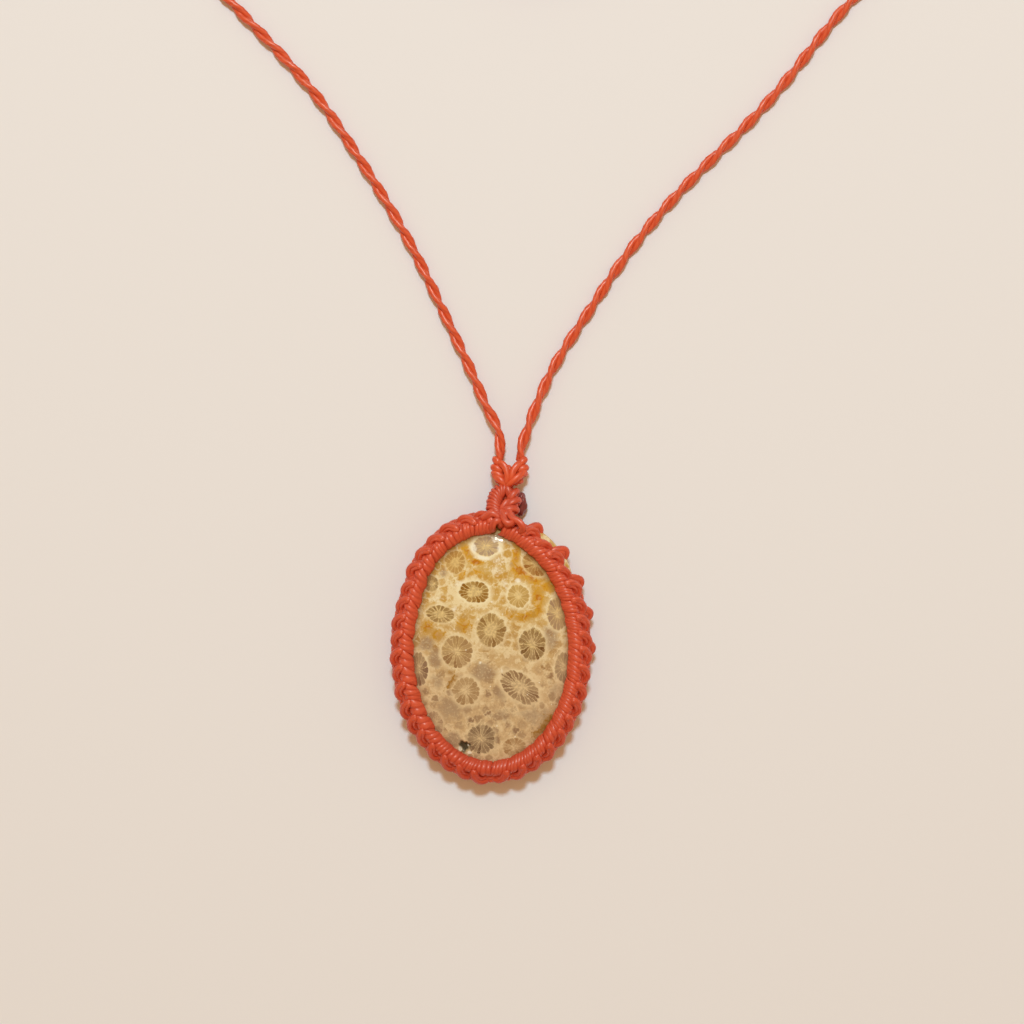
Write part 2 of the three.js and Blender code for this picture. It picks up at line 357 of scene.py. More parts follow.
class Graph:
    """Short-hand for building a node tree."""

    def __init__(self, tree: bpy.types.NodeTree) -> None:
        """Keep the tree to build in."""
        self.tree = tree

    def node(self, kind: str, *sources: object, **settings: object) -> bpy.types.Node:
        """Add a node.

        Args:
            kind: The node's type name.
            sources: Links or fixed values for its first inputs, in order.
            settings: Properties to set on it.

        Returns:
            The node.
        """
        made = self.tree.nodes.new(kind)
        for name, value in settings.items():
            setattr(made, name, value)
        for socket, source in zip(made.inputs, sources):
            self.feed(socket, source)
        return made

    def feed(self, socket: Socket, source: object) -> None:
        """Give a socket a link or a fixed value.

        Args:
            socket: The input.
            source: Another node's output, or a number, vector or colour.
        """
        if isinstance(source, Socket):
            self.tree.links.new(source, socket)
        else:
            socket.default_value = source

    def fill(self, node: bpy.types.Node, sources: dict[str, object]) -> None:
        """Feed a node's inputs by name."""
        for label, source in sources.items():
            self.feed(node.inputs[label], source)

    def math(self, operation: str, *values: object) -> Socket:
        """Add a Math node on values and give its output."""
        return self.node("ShaderNodeMath", *values, operation=operation).outputs[0]

    def times(self, first: object, second: object) -> Socket:
        """Multiply two numbers."""
        return self.math("MULTIPLY", first, second)

    def plus(self, first: object, second: object) -> Socket:
        """Add two numbers."""
        return self.math("ADD", first, second)

    def minus(self, first: object, second: object) -> Socket:
        """Take the second number from the first."""
        return self.math("SUBTRACT", first, second)

    def line(self, value: object, slope: float, start: object) -> Socket:
        """Multiply a number by a slope and add a start."""
        return self.math("MULTIPLY_ADD", value, slope, start)

    def vector(self, operation: str, *values: object) -> Socket:
        """Add a Vector Math node on values and give its vector."""
        return self.node("ShaderNodeVectorMath", *values, operation=operation).outputs["Vector"]

    def scaled(self, source: object, factor: float) -> Socket:
        """Multiply a vector by a number."""
        return self.vector("MULTIPLY", source, (factor, factor, factor))

    def split(self, source: object) -> list[Socket]:
        """Take a vector apart into its three numbers."""
        return list(self.node("ShaderNodeSeparateXYZ", source).outputs)

    def merged(self, x: object, y: object, z: object) -> Socket:
        """Make a vector of three numbers."""
        return self.node("ShaderNodeCombineXYZ", x, y, z).outputs[0]

    def ramp(self, value: object, low: object, high: object, top: float = 1.0) -> Socket:
        """Rise smoothly from 0 to a top between two limits."""
        sources = (value, low, high, 0.0, top)
        return self.node("ShaderNodeMapRange", *sources, interpolation_type="SMOOTHSTEP").outputs[0]

    def mix(self, share: object, first: object, second: object) -> Socket:
        """Mix two colours.

        Args:
            share: Share of the second.
            first: First colour.
            second: Second colour.

        Returns:
            The mixed colour.
        """
        made = self.node("ShaderNodeMix", share, data_type="RGBA")
        first_colour, second_colour = made.inputs[6], made.inputs[7]
        self.feed(first_colour, first)
        self.feed(second_colour, second)
        return made.outputs[2]

    def noise(self, place: object, scale: float, detail: float = 2.0, rough: float = 0.5) -> bpy.types.Node:
        """Add a Noise Texture.

        Args:
            place: Coordinates.
            scale: Scale of the noise.
            detail: Octaves.
            rough: Weight of the finer octaves.

        Returns:
            The node.
        """
        made = self.node("ShaderNodeTexNoise")
        self.fill(made, {"Vector": place, "Scale": scale, "Detail": detail, "Roughness": rough})
        return made

    def drift(self, place: object, scale: float, detail: float) -> Socket:
        """Add a noise vector about zero."""
        return self.vector("SUBTRACT", self.noise(place, scale, detail).outputs[1], (0.5, 0.5, 0.5))

    def cells(self, place: object, scale: float, feature: str = "F1") -> bpy.types.Node:
        """Add a texture of cells.

        Args:
            place: Coordinates.
            scale: Scale of the cells.
            feature: What the texture measures.

        Returns:
            The node.
        """
        made = self.node("ShaderNodeTexVoronoi", feature=feature)
        self.fill(made, {"Vector": place, "Scale": scale})
        return made

    def attribute(self, name: str) -> bpy.types.Node:
        """Read an attribute of the mesh."""
        return self.node("ShaderNodeAttribute", attribute_name=name)


def new_group(name: str, inputs: dict[str, str], outputs: dict[str, str]) -> tuple[Graph, Sockets, Sockets]:
    """Start a shader node group.

    Args:
        name: The group's name.
        inputs: Input names and socket types.
        outputs: Output names and socket types.

    Returns:
        The graph, the group's input sockets and its output sockets.
    """
    tree = bpy.data.node_groups.new(name, "ShaderNodeTree")
    for label, kind in inputs.items():
        tree.interface.new_socket(label, in_out="INPUT", socket_type=kind)
    for label, kind in outputs.items():
        tree.interface.new_socket(label, in_out="OUTPUT", socket_type=kind)
    graph = Graph(tree)
    return graph, graph.node("NodeGroupInput").outputs, graph.node("NodeGroupOutput").inputs


def new_material(name: str) -> tuple[bpy.types.Material, Graph, bpy.types.Node]:
    """Start a material with a Principled shader.

    Args:
        name: The material's name.

    Returns:
        The material, its graph and the shader.
    """
    material = bpy.data.materials.new(name)
    material.use_nodes = True
    graph = Graph(material.node_tree)
    return material, graph, material.node_tree.nodes["Principled BSDF"]


@dataclass(frozen=True)
class CordFinish:
    """Waxed cord: its colours, gloss and the relief of its fibres."""

    name: str
    base: Colour
    # deep: colour of the painted shade in the grooves and under other strands, and of darker random tones
    deep: Colour
    # pale: colour of the wax patches and of the fibre streaks, which are partly painted sheen
    pale: Colour
    roughness: float = 0.44
    coat: float = 0.18
    coat_roughness: float = 0.24
    bump: float = 0.35
    fibre_depth: float = 0.05

    def material(self, pattern: bpy.types.NodeTree) -> bpy.types.Material:
        """Make the material.

        Args:
            pattern: The shared strand pattern.

        Returns:
            The material.
        """
        material, graph, shader = new_material(self.name)
        group = graph.node("ShaderNodeGroup", node_tree=pattern)
        strand = graph.node("ShaderNodeUVMap", uv_map="strand").outputs[0]
        tone = graph.attribute("tone").outputs["Fac"]
        colours = {"Base": self.base, "Deep": self.deep, "Pale": self.pale}
        graph.fill(group, {"Strand": strand, "Tone": tone} | colours)
        bump = graph.node("ShaderNodeBump")
        relief = group.outputs["Height"]
        graph.fill(bump, {"Strength": self.bump, "Distance": self.fibre_depth * MM, "Height": relief})
        graph.fill(
            shader,
            {
                "Base Color": group.outputs["Colour"],
                "Normal": bump.outputs[0],
                "Roughness": self.roughness,
                "Coat Weight": self.coat,
                "Coat Roughness": self.coat_roughness,
            },
        )
        return material


@dataclass(frozen=True)
class StrandPattern:
    """Shared pattern of a waxed strand: pale fibres along its plies, partly painted sheen, painted shade in
    the grooves between them and patches of wax.
    """

    lanes: float = 7.0
    lane_stretch: float = 0.9
    fibre_detail: float = 3.0
    wax_scale: float = 0.8
    tone_jump: float = 40.0
    groove_painted_shade: float = 0.45
    streak_sheen_share: float = 0.35
    wax_share: float = 0.22
    tone_share: float = 0.35
    fibre_height: float = 0.8
    ply_height: float = 0.3

    def group(self) -> bpy.types.NodeTree:
        """Build the pattern.

        Returns:
            The node group.
        """
        colours = dict.fromkeys(("Base", "Deep", "Pale"), "NodeSocketColor")
        graph, given, out = new_group(
            "waxed_strand",
            {"Strand": "NodeSocketVector", "Tone": "NodeSocketFloat"} | colours,
            {"Colour": "NodeSocketColor", "Height": "NodeSocketFloat"},
        )
        base, deep, pale = (given[label] for label in colours)
        around, along, _ = graph.split(given["Strand"])
        turned = graph.math("DIVIDE", along, Strand.ply_turn)
        ply = graph.plus(graph.times(around, float(Strand.plies)), turned)
        wave = graph.math("COSINE", graph.times(ply, 2 * math.pi))
        stretched = graph.times(along, self.lane_stretch)
        lane = graph.merged(graph.times(ply, self.lanes), stretched, given["Tone"])
        fibre = graph.noise(lane, 1.0, self.fibre_detail).outputs[0]
        place = graph.merged(around, along, graph.times(given["Tone"], self.tone_jump))
        wax = graph.noise(place, self.wax_scale).outputs[0]
        # painted shade: the grooves between the plies are drawn darker
        colour = graph.mix(graph.ramp(wave, 0.1, -1.0, self.groove_painted_shade), base, deep)
        # pale streaks along the fibres: partly the fibres' own colour, partly painted sheen
        colour = graph.mix(graph.ramp(fibre, 0.55, 0.8, self.streak_sheen_share), colour, pale)
        colour = graph.mix(graph.ramp(wax, 0.5, 0.75, self.wax_share), colour, pale)
        # the tone darkens the strand: a random tone plus, on some pieces, painted shade
        tint = graph.times(given["Tone"], self.tone_share)
        graph.feed(out["Colour"], graph.mix(tint, colour, deep))
        raised = graph.times(fibre, self.fibre_height)
        graph.feed(out["Height"], graph.plus(raised, graph.times(wave, self.ply_height)))
        return graph.tree


@dataclass(frozen=True)
class Workshop:
    """What every piece needs: where the oval lies and the finishes' materials."""

    oval: Oval
    setting: bpy.types.Material
    necklace: bpy.types.Material
    melted_and_shaded: bpy.types.Material

    @property
    def centre(self) -> Array:
        """The oval's centre in the row frame, in millimetres."""
        return np.array([self.oval.centre_x, self.oval.centre_y, 0.0])

    def mesh(self, name: str, vertices: Array, quads: Array) -> bpy.types.Mesh:
        """Make a smooth mesh of faces in millimetres about the oval's centre.

        Args:
            name: The mesh's name.
            vertices: Its points.
            quads: Its faces.

        Returns:
            The mesh, in metres in the row frame.
        """
        mesh = bpy.data.meshes.new(name)
        mesh.from_pydata((vertices + self.centre) * MM, [], quads.tolist())
        mesh.polygons.foreach_set("use_smooth", np.ones(len(mesh.polygons), bool))
        return mesh

    def ready(self, mesh: bpy.types.Mesh, material: bpy.types.Material, slot: str) -> bpy.types.Object:
        """Finish a mesh as a piece: points that fall together are welded.

        Args:
            mesh: The mesh, with the piece's name.
            material: Its material.
            slot: The record's material slot; not used.

        Returns:
            The piece, riding on the body.
        """
        mesh.materials.append(material)
        welded = bmesh.new()
        welded.from_mesh(mesh)
        bmesh.ops.remove_doubles(welded, verts=welded.verts, dist=WELD_DISTANCE)
        welded.to_mesh(mesh)
        welded.free()
        made = bpy.data.objects.new(mesh.name, mesh)
        bpy.context.scene.collection.objects.link(made)
        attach(made, BODY)
        LOG.info("%s: %d faces", mesh.name, len(mesh.polygons))
        return made

    def piece(
        self, name: str, surface: Surface, material: bpy.types.Material, slot: str
    ) -> bpy.types.Object:
        """Make a piece of cord from a surface in millimetres about the oval's centre.

        Args:
            name: The piece's name.
            surface: The surface.
            material: Its material.
            slot: The record's material slot.

        Returns:
            The piece, riding on the body.
        """
        mesh = self.mesh(name, surface.vertices, surface.quads)
        places = surface.uvs.reshape(-1).astype(np.float32)
        mesh.uv_layers.new(name="strand").data.foreach_set("uv", places)
        tone = mesh.attributes.new("tone", "FLOAT", "POINT")
        tone.data.foreach_set("value", surface.tones.astype(np.float32))
        return self.ready(mesh, material, slot)


class Side(Enum):
    """Which face of the stone a row of knots lies on."""

    FRONT = "front_row"
    BACK = "back_row"


@dataclass(frozen=True)
class LoopStrand:
    """One strand of a loop: how far inside and up it lies, its delay along the row, size and run."""

    inset: float
    lift: float
    delay: float
    size: float
    run: float


@dataclass
class KnotRow:
    """A row of knots round the stone: wraps on a core ring, and loops along its outer edge."""

    shop: Workshop
    side: Side
    knots: int = 40
    ring_offset: float = -1.47
    ring_half_width: float = 1.27
    ring_half_height: float = 1.3
    ring_peak: float = 1.4
    edge_drop: float = 0.1
    bed_out: float = 1.25
    bed_drop: float = 0.4
    lean_deg: float = 14.0
    wide_out: float = 0.8
    wide_deg: float = 112.0
    wide_half_deg: float = 34.0
    bed_lift: float = 0.6
    back_z: float = 0.92
    gap_share: float = 0.2365
    gap_half: float = 0.0062
    ears_deg: tuple[float, ...] = (0.5, 15.6, 30.5, 46.0, 63.7)
    ear_reach: tuple[float, ...] = (1.1, 1.3, 1.45, 1.8, 1.6)
    bare_deg: tuple[tuple[float, float], ...] = ((36.0, 45.0), (51.0, 62.0))
    coarse_half: float = 0.14
    strand: Strand = Strand(0.6, 0.31)
    loop_strand: Strand = Strand(0.5, 0.46)
    # painted shade: how much darker the foot of the row is drawn, where it faces away from the lamps
    foot_painted_shade: float = 1.1
    ear_strand: Strand = Strand(0.56, 0.5)
    core_inset: float = 0.4
    core_sink: float = 0.36
    core_drop: float = 0.1
    # painted shade: the darker tone of the core and bedding, which show only in the gaps under wraps and
    # loops
    hidden_painted_shade: float = 0.8
    back_bed_drop: float = 0.3
    bed_strand: Strand = Strand(0.66, 0.56, sides=12)
    lacing_strand: Strand = Strand(0.34, 0.3)
    lacing_from_deg: float = 74.0
    bare_reach: float = 0.84
    fine_slant: float = 1.0
    right_slant: float = 1.6
    coarse_slant: float = 1.5
    first_slant: float = 2.6
    wrap_span_deg: tuple[float, float] = (-80.0, 260.0)
    wrap_points: int = 21
    loop_points: int = 27
    lacing_points: int = 25
    edge_points: int = 180
    knot_margin: float = 0.03
    place_spread: float = 0.02
    size_spread: float = 0.03
    knot_slant_spread: float = 0.3
    slant_spread: float = 0.12
    wrap_swell: float = 1.02
    wrap_fall: float = 0.15
    swell_spread: float = 0.02
    loop_place_spread: float = 0.04
    loop_reach_spread: float = 0.045
    loop_lift_spread: float = 0.05
    usual_wraps: float = 2.5
    wrap_size_power: float = 0.8
    first_wrap: float = 0.4
    wrap_tone: float = 0.4
    loop_tone: float = 0.3
    loop_tilt: float = 0.6
    loop_strands: tuple[LoopStrand, ...] = (
        LoopStrand(inset=0.0, lift=0.0, delay=0.0, size=1.0, run=1.0),
        LoopStrand(inset=0.52, lift=0.1, delay=0.06, size=0.92, run=0.8),
    )
    ear_strands: tuple[LoopStrand, ...] = (
        LoopStrand(inset=0.0, lift=0.0, delay=0.0, size=1.0, run=1.0),
        LoopStrand(inset=0.6, lift=0.18, delay=0.0, size=1.0, run=0.55),
    )
    seed: int = 7

    def frame_at(self, share: Array) -> tuple[Array, Array, Array]:
        """Find the ring's core with the directions across it.

        Args:
            share: Shares of the girdle's length.

        Returns:
            Core points, the direction that leads outward and the one that leads off the stone.
        """
        girdle, outward = self.shop.oval.at(share)
        up = upward(outward)
        core = girdle + outward * (self.ring_offset + self.widening(share))[..., None]
        if self.side is Side.BACK:
            return core + up * self.back_z, outward, -up
        lean = math.radians(self.lean_deg)
        height = self.shop.oval.dome_z(core[..., 0], core[..., 1]) + self.bed_lift
        off = outward * math.sin(lean) + up * math.cos(lean)
        return core + up * height[..., None], outward * math.cos(lean) - up * math.sin(lean), off

    def widening(self, share: Array) -> Array:
        """Find how much farther out the row runs at the upper left: a flat-topped bell.

        Args:
            share: Shares of the girdle's length.

        Returns:
            Distances in millimetres.
        """
        limits = np.array([self.wide_deg, self.wide_deg + self.wide_half_deg])
        middle, side = self.shop.oval.share_at(limits)
        return self.wide_out * np.exp(-(((np.mod(share, 1.0) - middle) / (side - middle)) ** 4))

    def on_right(self, share: Array) -> Array:
        """Tell which shares lie on the right half, where the knots run the other way."""
        return np.abs(np.mod(share + 0.5, 1.0) - 0.5) < 0.25

    def inner_edge(self) -> Array:
        """List places across and along on the inner edge of the ring, shape (points, 2)."""
        core, outer, _ = self.frame_at(np.linspace(0, 1, self.edge_points, endpoint=False))
        return (core - outer * self.ring_half_width)[:, :2]

    def core(self) -> Surface:
        """Make the plain core under the wraps, open at the top of the front row.

        Returns:
            A closed or an open tube.
        """
        closed = self.side is Side.BACK
        start, run = (0.0, 1.0) if closed else (self.gap_share + self.gap_half, 1 - 2 * self.gap_half)
        share = start + run * np.linspace(0, 1, RING_STEPS, endpoint=not closed)[None]
        points, _, off = self.frame_at(share)
        flat = Strand(
            self.ring_half_width - self.core_inset,
            self.ring_half_height - self.core_sink,
            sides=16,
            plies=1,
            ply_depth=0.0,
        )
        # the core is drawn in the darker tone of painted shade
        tone = np.array([self.hidden_painted_shade])
        return sweep(points - self.core_drop * off, off, flat, tone, closed=closed)

    def shaded(self, share: Array) -> Array:
        """Painted shade to add to the tone at each share: deepest at the foot, by the square of the
        downward direction.
        """
        return self.foot_painted_shade * np.clip(-np.sin(2 * math.pi * share), 0, 1) ** 2

    def wraps(self, rng: np.random.Generator) -> Surface:
        """Make the wraps of the knots, coarse and steep on the left and fine elsewhere.

        Each wrap is an arc of an ellipse round the core, its height raised to a power that peaks it
        and its sides dropped towards the stone, open on the side of the stone. All wraps lean along the
        row, the first of a coarse knot most.

        Args:
            rng: Source of the small differences between wraps.

        Returns:
            All wraps of the row.
        """
        middle = (np.arange(self.knots) + 0.5) / self.knots
        coarse = (np.abs(middle - 0.5) < self.coarse_half) | (self.side is Side.BACK)
        few = rng.choice([2, 3], self.knots, p=[0.3, 0.7])
        many = rng.choice([3, 4, 5], self.knots, p=[0.3, 0.5, 0.2])
        counts = np.where(coarse, few, many)
        knot = np.repeat(np.arange(self.knots), counts)
        within = np.concatenate([(np.arange(count) + 0.5) / count for count in counts])
        place = knot + self.knot_margin + (1 - 2 * self.knot_margin) * within
        share = (place + rng.normal(0, self.place_spread, len(knot))) / self.knots
        usual = (self.usual_wraps / counts[knot]) ** self.wrap_size_power
        size = usual * rng.normal(1, self.size_spread, len(knot))
        fine = np.where(self.on_right(share), self.right_slant, self.fine_slant)
        steep = np.where(within < self.first_wrap, self.first_slant, self.coarse_slant)
        slant = np.where(coarse[knot], steep, fine)
        slant = slant + rng.normal(0, self.knot_slant_spread, self.knots)[knot]
        slant = slant + rng.normal(0, self.slant_spread, len(knot))
        swell = self.wrap_swell - self.wrap_fall * (2 * within - 1) ** 2
        swell = swell + rng.normal(0, self.swell_spread, len(knot))
        if self.side is Side.FRONT:
            kept = np.abs(share - self.gap_share) > self.gap_half
            share, slant, swell, size = (values[kept] for values in (share, slant, swell, size))
        turn = np.radians(np.linspace(*self.wrap_span_deg, self.wrap_points))[None]
        shift = slant[:, None] * (turn - math.pi / 2) / math.pi / self.shop.oval.perimeter()
        core, outer, off = self.frame_at(share[:, None] + shift)
        thick, swell = self.strand.half_height * size[:, None], swell[:, None]
        wide = (self.ring_half_width * swell - thick) * np.cos(turn)
        peaked = np.sin(turn) * np.abs(np.sin(turn)) ** (self.ring_peak - 1)
        high = (self.ring_half_height * swell - thick) * peaked - self.edge_drop * np.cos(turn) ** 2
        points = core + outer * wide[..., None] + off * high[..., None]
        away = np.cos(turn)[..., None] * outer * self.ring_half_height + np.sin(turn)[..., None] * off
        # random tone plus painted shade at the foot of the row
        tones = rng.uniform(0, self.wrap_tone, len(share)) + self.shaded(share)
        return sweep(points, away, self.strand, tones, scale=size[:, None])

    def edge_loops(self, rng: np.random.Generator) -> Surface:
        """Make the loops along the outer edge: a thick hook from the wraps out and down the edge.

        Control points give the share along the knot, the distance outward from the core and the
        distance off the stone. A thinner strand runs inside each hook.

        Args:
            rng: Source of the small differences between loops.

        Returns:
            All loops of the row.
        """
        front = np.array(
            [
                [-0.06, 0.1, 0.9], [-0.06, 0.55, 1.08], [0.03, 1.08, 0.98],
                [0.18, 1.6, 0.62], [0.38, 1.95, 0.22], [0.58, 2.04, -0.1],
                [0.77, 1.86, -0.42], [0.9, 1.42, -0.68], [0.98, 0.95, -0.86],
            ]
        )
        back = np.array(
            [
                [-0.1, 0.6, 0.4], [0.0, 1.1, 0.3], [0.14, 1.5, 0.0],
                [0.3, 1.76, -0.45], [0.5, 1.84, -0.85], [0.7, 1.76, -1.15],
                [0.86, 1.5, -1.35], [0.96, 1.25, -1.45], [1.04, 1.0, -1.5],
            ]
        )
        hook = front if self.side is Side.FRONT else back
        offset = 0.0 if self.side is Side.FRONT else 0.5
        place = np.arange(self.knots) + offset
        share = (place + rng.normal(0, self.loop_place_spread, self.knots)) / self.knots
        centre = share + 0.5 / self.knots
        right = self.on_right(centre)[:, None]
        short = np.zeros(self.knots, bool)
        for low, high in self.bare_deg:
            first, last = self.shop.oval.share_at(np.array([low, high]))
            short |= (centre > first) & (centre < last)
        reach = np.where(short, self.bare_reach, 1.0)[:, None]
        parts = []
        for strand in self.loop_strands:
            control = np.tile(hook, (self.knots, 1, 1))
            control[:, 2:, 1] -= strand.inset
            control[:, 2:, 1] *= reach * (1 + rng.normal(0, self.loop_reach_spread, (self.knots, 1)))
            control[:, 1:, 2] += strand.lift + rng.normal(0, self.loop_lift_spread, (self.knots, 1))
            curve = smooth_path(control, self.loop_points)
            along = curve[..., 0] * strand.run + strand.delay
            along = np.where(right, 1 - along, along)
            core, outer, off = self.frame_at(share[:, None] + along / self.knots)
            points = core + outer * curve[..., 1:2] + off * curve[..., 2:3]
            # random tone plus painted shade at the foot of the row
            tones = rng.uniform(0, self.loop_tone, self.knots) + self.shaded(centre)
            away = points - core + self.loop_tilt * off
            parts.append(sweep(points, away, self.loop_strand, tones, scale=strand.size))
        return Surface.joined(parts)

    def bedding(self) -> Surface:
        """Make the run of strands under the loops, which closes the gaps between them.

        Returns:
            A closed tube outside the wraps.
        """
        share = np.linspace(0, 1, RING_STEPS, endpoint=False)[None]
        points, outer, off = self.frame_at(share)
        lower = self.bed_drop if self.side is Side.FRONT else self.back_bed_drop
        line = points + outer * self.bed_out - off * lower
        # the bedding is drawn in the darker tone of painted shade
        return sweep(line, off, self.bed_strand, np.array([self.hidden_painted_shade]), closed=True)

    def ears(self, rng: np.random.Generator) -> Surface:
        """Make the larger loops that stand out on the right, each of two strands, one inside the other.

        Control points give the distance along the edge, the share of the ear's reach and the height.

        Args:
            rng: Source of the small differences between ears.

        Returns:
            All ears.
        """
        shape = np.array(
            [
                [1.45, -0.8, 4.7], [1.15, 0.0, 4.6], [0.72, 0.55, 4.3],
                [0.08, 0.95, 3.8], [-0.5, 0.74, 3.5], [-0.72, 0.2, 3.4],
                [-0.75, -0.5, 3.4],
            ]
        )
        share = self.shop.oval.share_at(np.array(self.ears_deg))
        parts = []
        for strand in self.ear_strands:
            curve = smooth_path(shape, STRAND_POINTS)[None] * np.ones((len(share), 1, 1))
            along = (curve[..., 0] * strand.run + strand.delay) / self.shop.oval.perimeter()
            girdle, outward = self.shop.oval.at(share[:, None] + along)
            reach = curve[..., 1] * np.array(self.ear_reach)[:, None] - strand.inset
            points = girdle + outward * reach[..., None]
            points[..., 2] = curve[..., 2] + strand.lift
            tones = rng.uniform(0, self.loop_tone, len(share))
            parts.append(sweep(points, upward(points), self.ear_strand, tones, scale=strand.size))
        return Surface.joined(parts)

    def lacing(self, rng: np.random.Generator) -> Surface:
        """Make the strands that lace the two rows together over the girdle.

        Args:
            rng: Source of the small differences between strands.

        Returns:
            All lacing strands.
        """
        shape = np.array(
            [
                [-0.1, 0.2, 4.6], [0.08, 0.5, 4.0], [0.3, 0.45, 3.0],
                [0.5, 0.55, 1.8], [0.72, 0.45, 3.0], [0.95, 0.5, 4.0],
                [1.1, 0.2, 4.6],
            ]
        )
        start = np.arange(self.knots) / self.knots
        start = start[start > self.shop.oval.share_at(np.array([self.lacing_from_deg]))]
        curve = smooth_path(shape, self.lacing_points)[None] * np.ones((len(start), 1, 1))
        girdle, outward = self.shop.oval.at(start[:, None] + curve[..., 0] / self.knots)
        points = girdle + outward * curve[..., 1:2]
        points[..., 2] = curve[..., 2]
        return sweep(points, outward, self.lacing_strand, rng.uniform(0.2, 0.8, len(start)))

    def build(self) -> bpy.types.Object:
        """Make the row as one piece.

        Returns:
            The piece.
        """
        rng = np.random.default_rng(self.seed)
        parts = [self.core(), self.wraps(rng), self.edge_loops(rng), self.bedding()]
        if self.side is Side.BACK:
            parts += [self.ears(rng), self.lacing(rng)]
        name = f"{self.side.value}_knots"
        made = self.shop.piece(name, Surface.joined(parts), self.shop.setting, "setting_cord")
        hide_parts(self.side.value)
        return made


def wrapped(path: Array, share: Array, radius: Array, lean: Array, strand: Strand, tones: Array) -> Surface:
    """Wrap turns of strand round a path that lies nearly level.

    Each turn is a circle round the path, flattened in height, and leans along the path with the
    cosine of the angle round it.

    Args:
        path: Points of the path, shape (n, 3).
        share: Where along the path each turn sits, 0 to 1.
        radius: Radius of each turn at the strand's middle.
        lean: How far each turn leans along the path.
        strand: The strand.
        tones: Tone of each turn.

    Returns:
        The turns.
    """
    place = share * (len(path) - 1)
    index = np.minimum(place.astype(int), len(path) - 2)
    step = (place - index)[:, None]
    middle = path[index] * (1 - step) + path[index + 1] * step
    along = unit(np.gradient(path, axis=0))[index]
    side = unit(np.cross(UP, along))
    top = TURN_HEIGHT * np.cross(along, side)
    turn = np.linspace(0, 2 * np.pi, TURN_POINTS, endpoint=False)
    spread = side[:, None] * np.cos(turn)[None, :, None] + top[:, None] * np.sin(turn)[None, :, None]
    tilt = along[:, None] * (lean[:, None] * np.cos(turn))[..., None]
    points = middle[:, None] + radius[:, None, None] * spread + tilt
    return sweep(points, spread, strand, tones, closed=True)


def level_strands(control: Array, strand: Strand, tones: Array) -> Surface:
    """Run strands smoothly through control points, shape (strands, points, 3), their flat side up."""
    points = smooth_path(control, STRAND_POINTS)
    return sweep(points, upward(points), strand, tones)


def level_core(path: Array, strand: Strand, tone: float) -> Surface:
    """Run one strand along a path, its flat side up."""
    return sweep(path[None], upward(path[None]), strand, np.array([tone]))


@dataclass(frozen=True)
class Limb:
    """The turns on one limb of the bail: where they start and end, their number, radius and lean."""

    low: float
    high: float
    turns: int
    radius: float
    lean: float
    strand: Strand


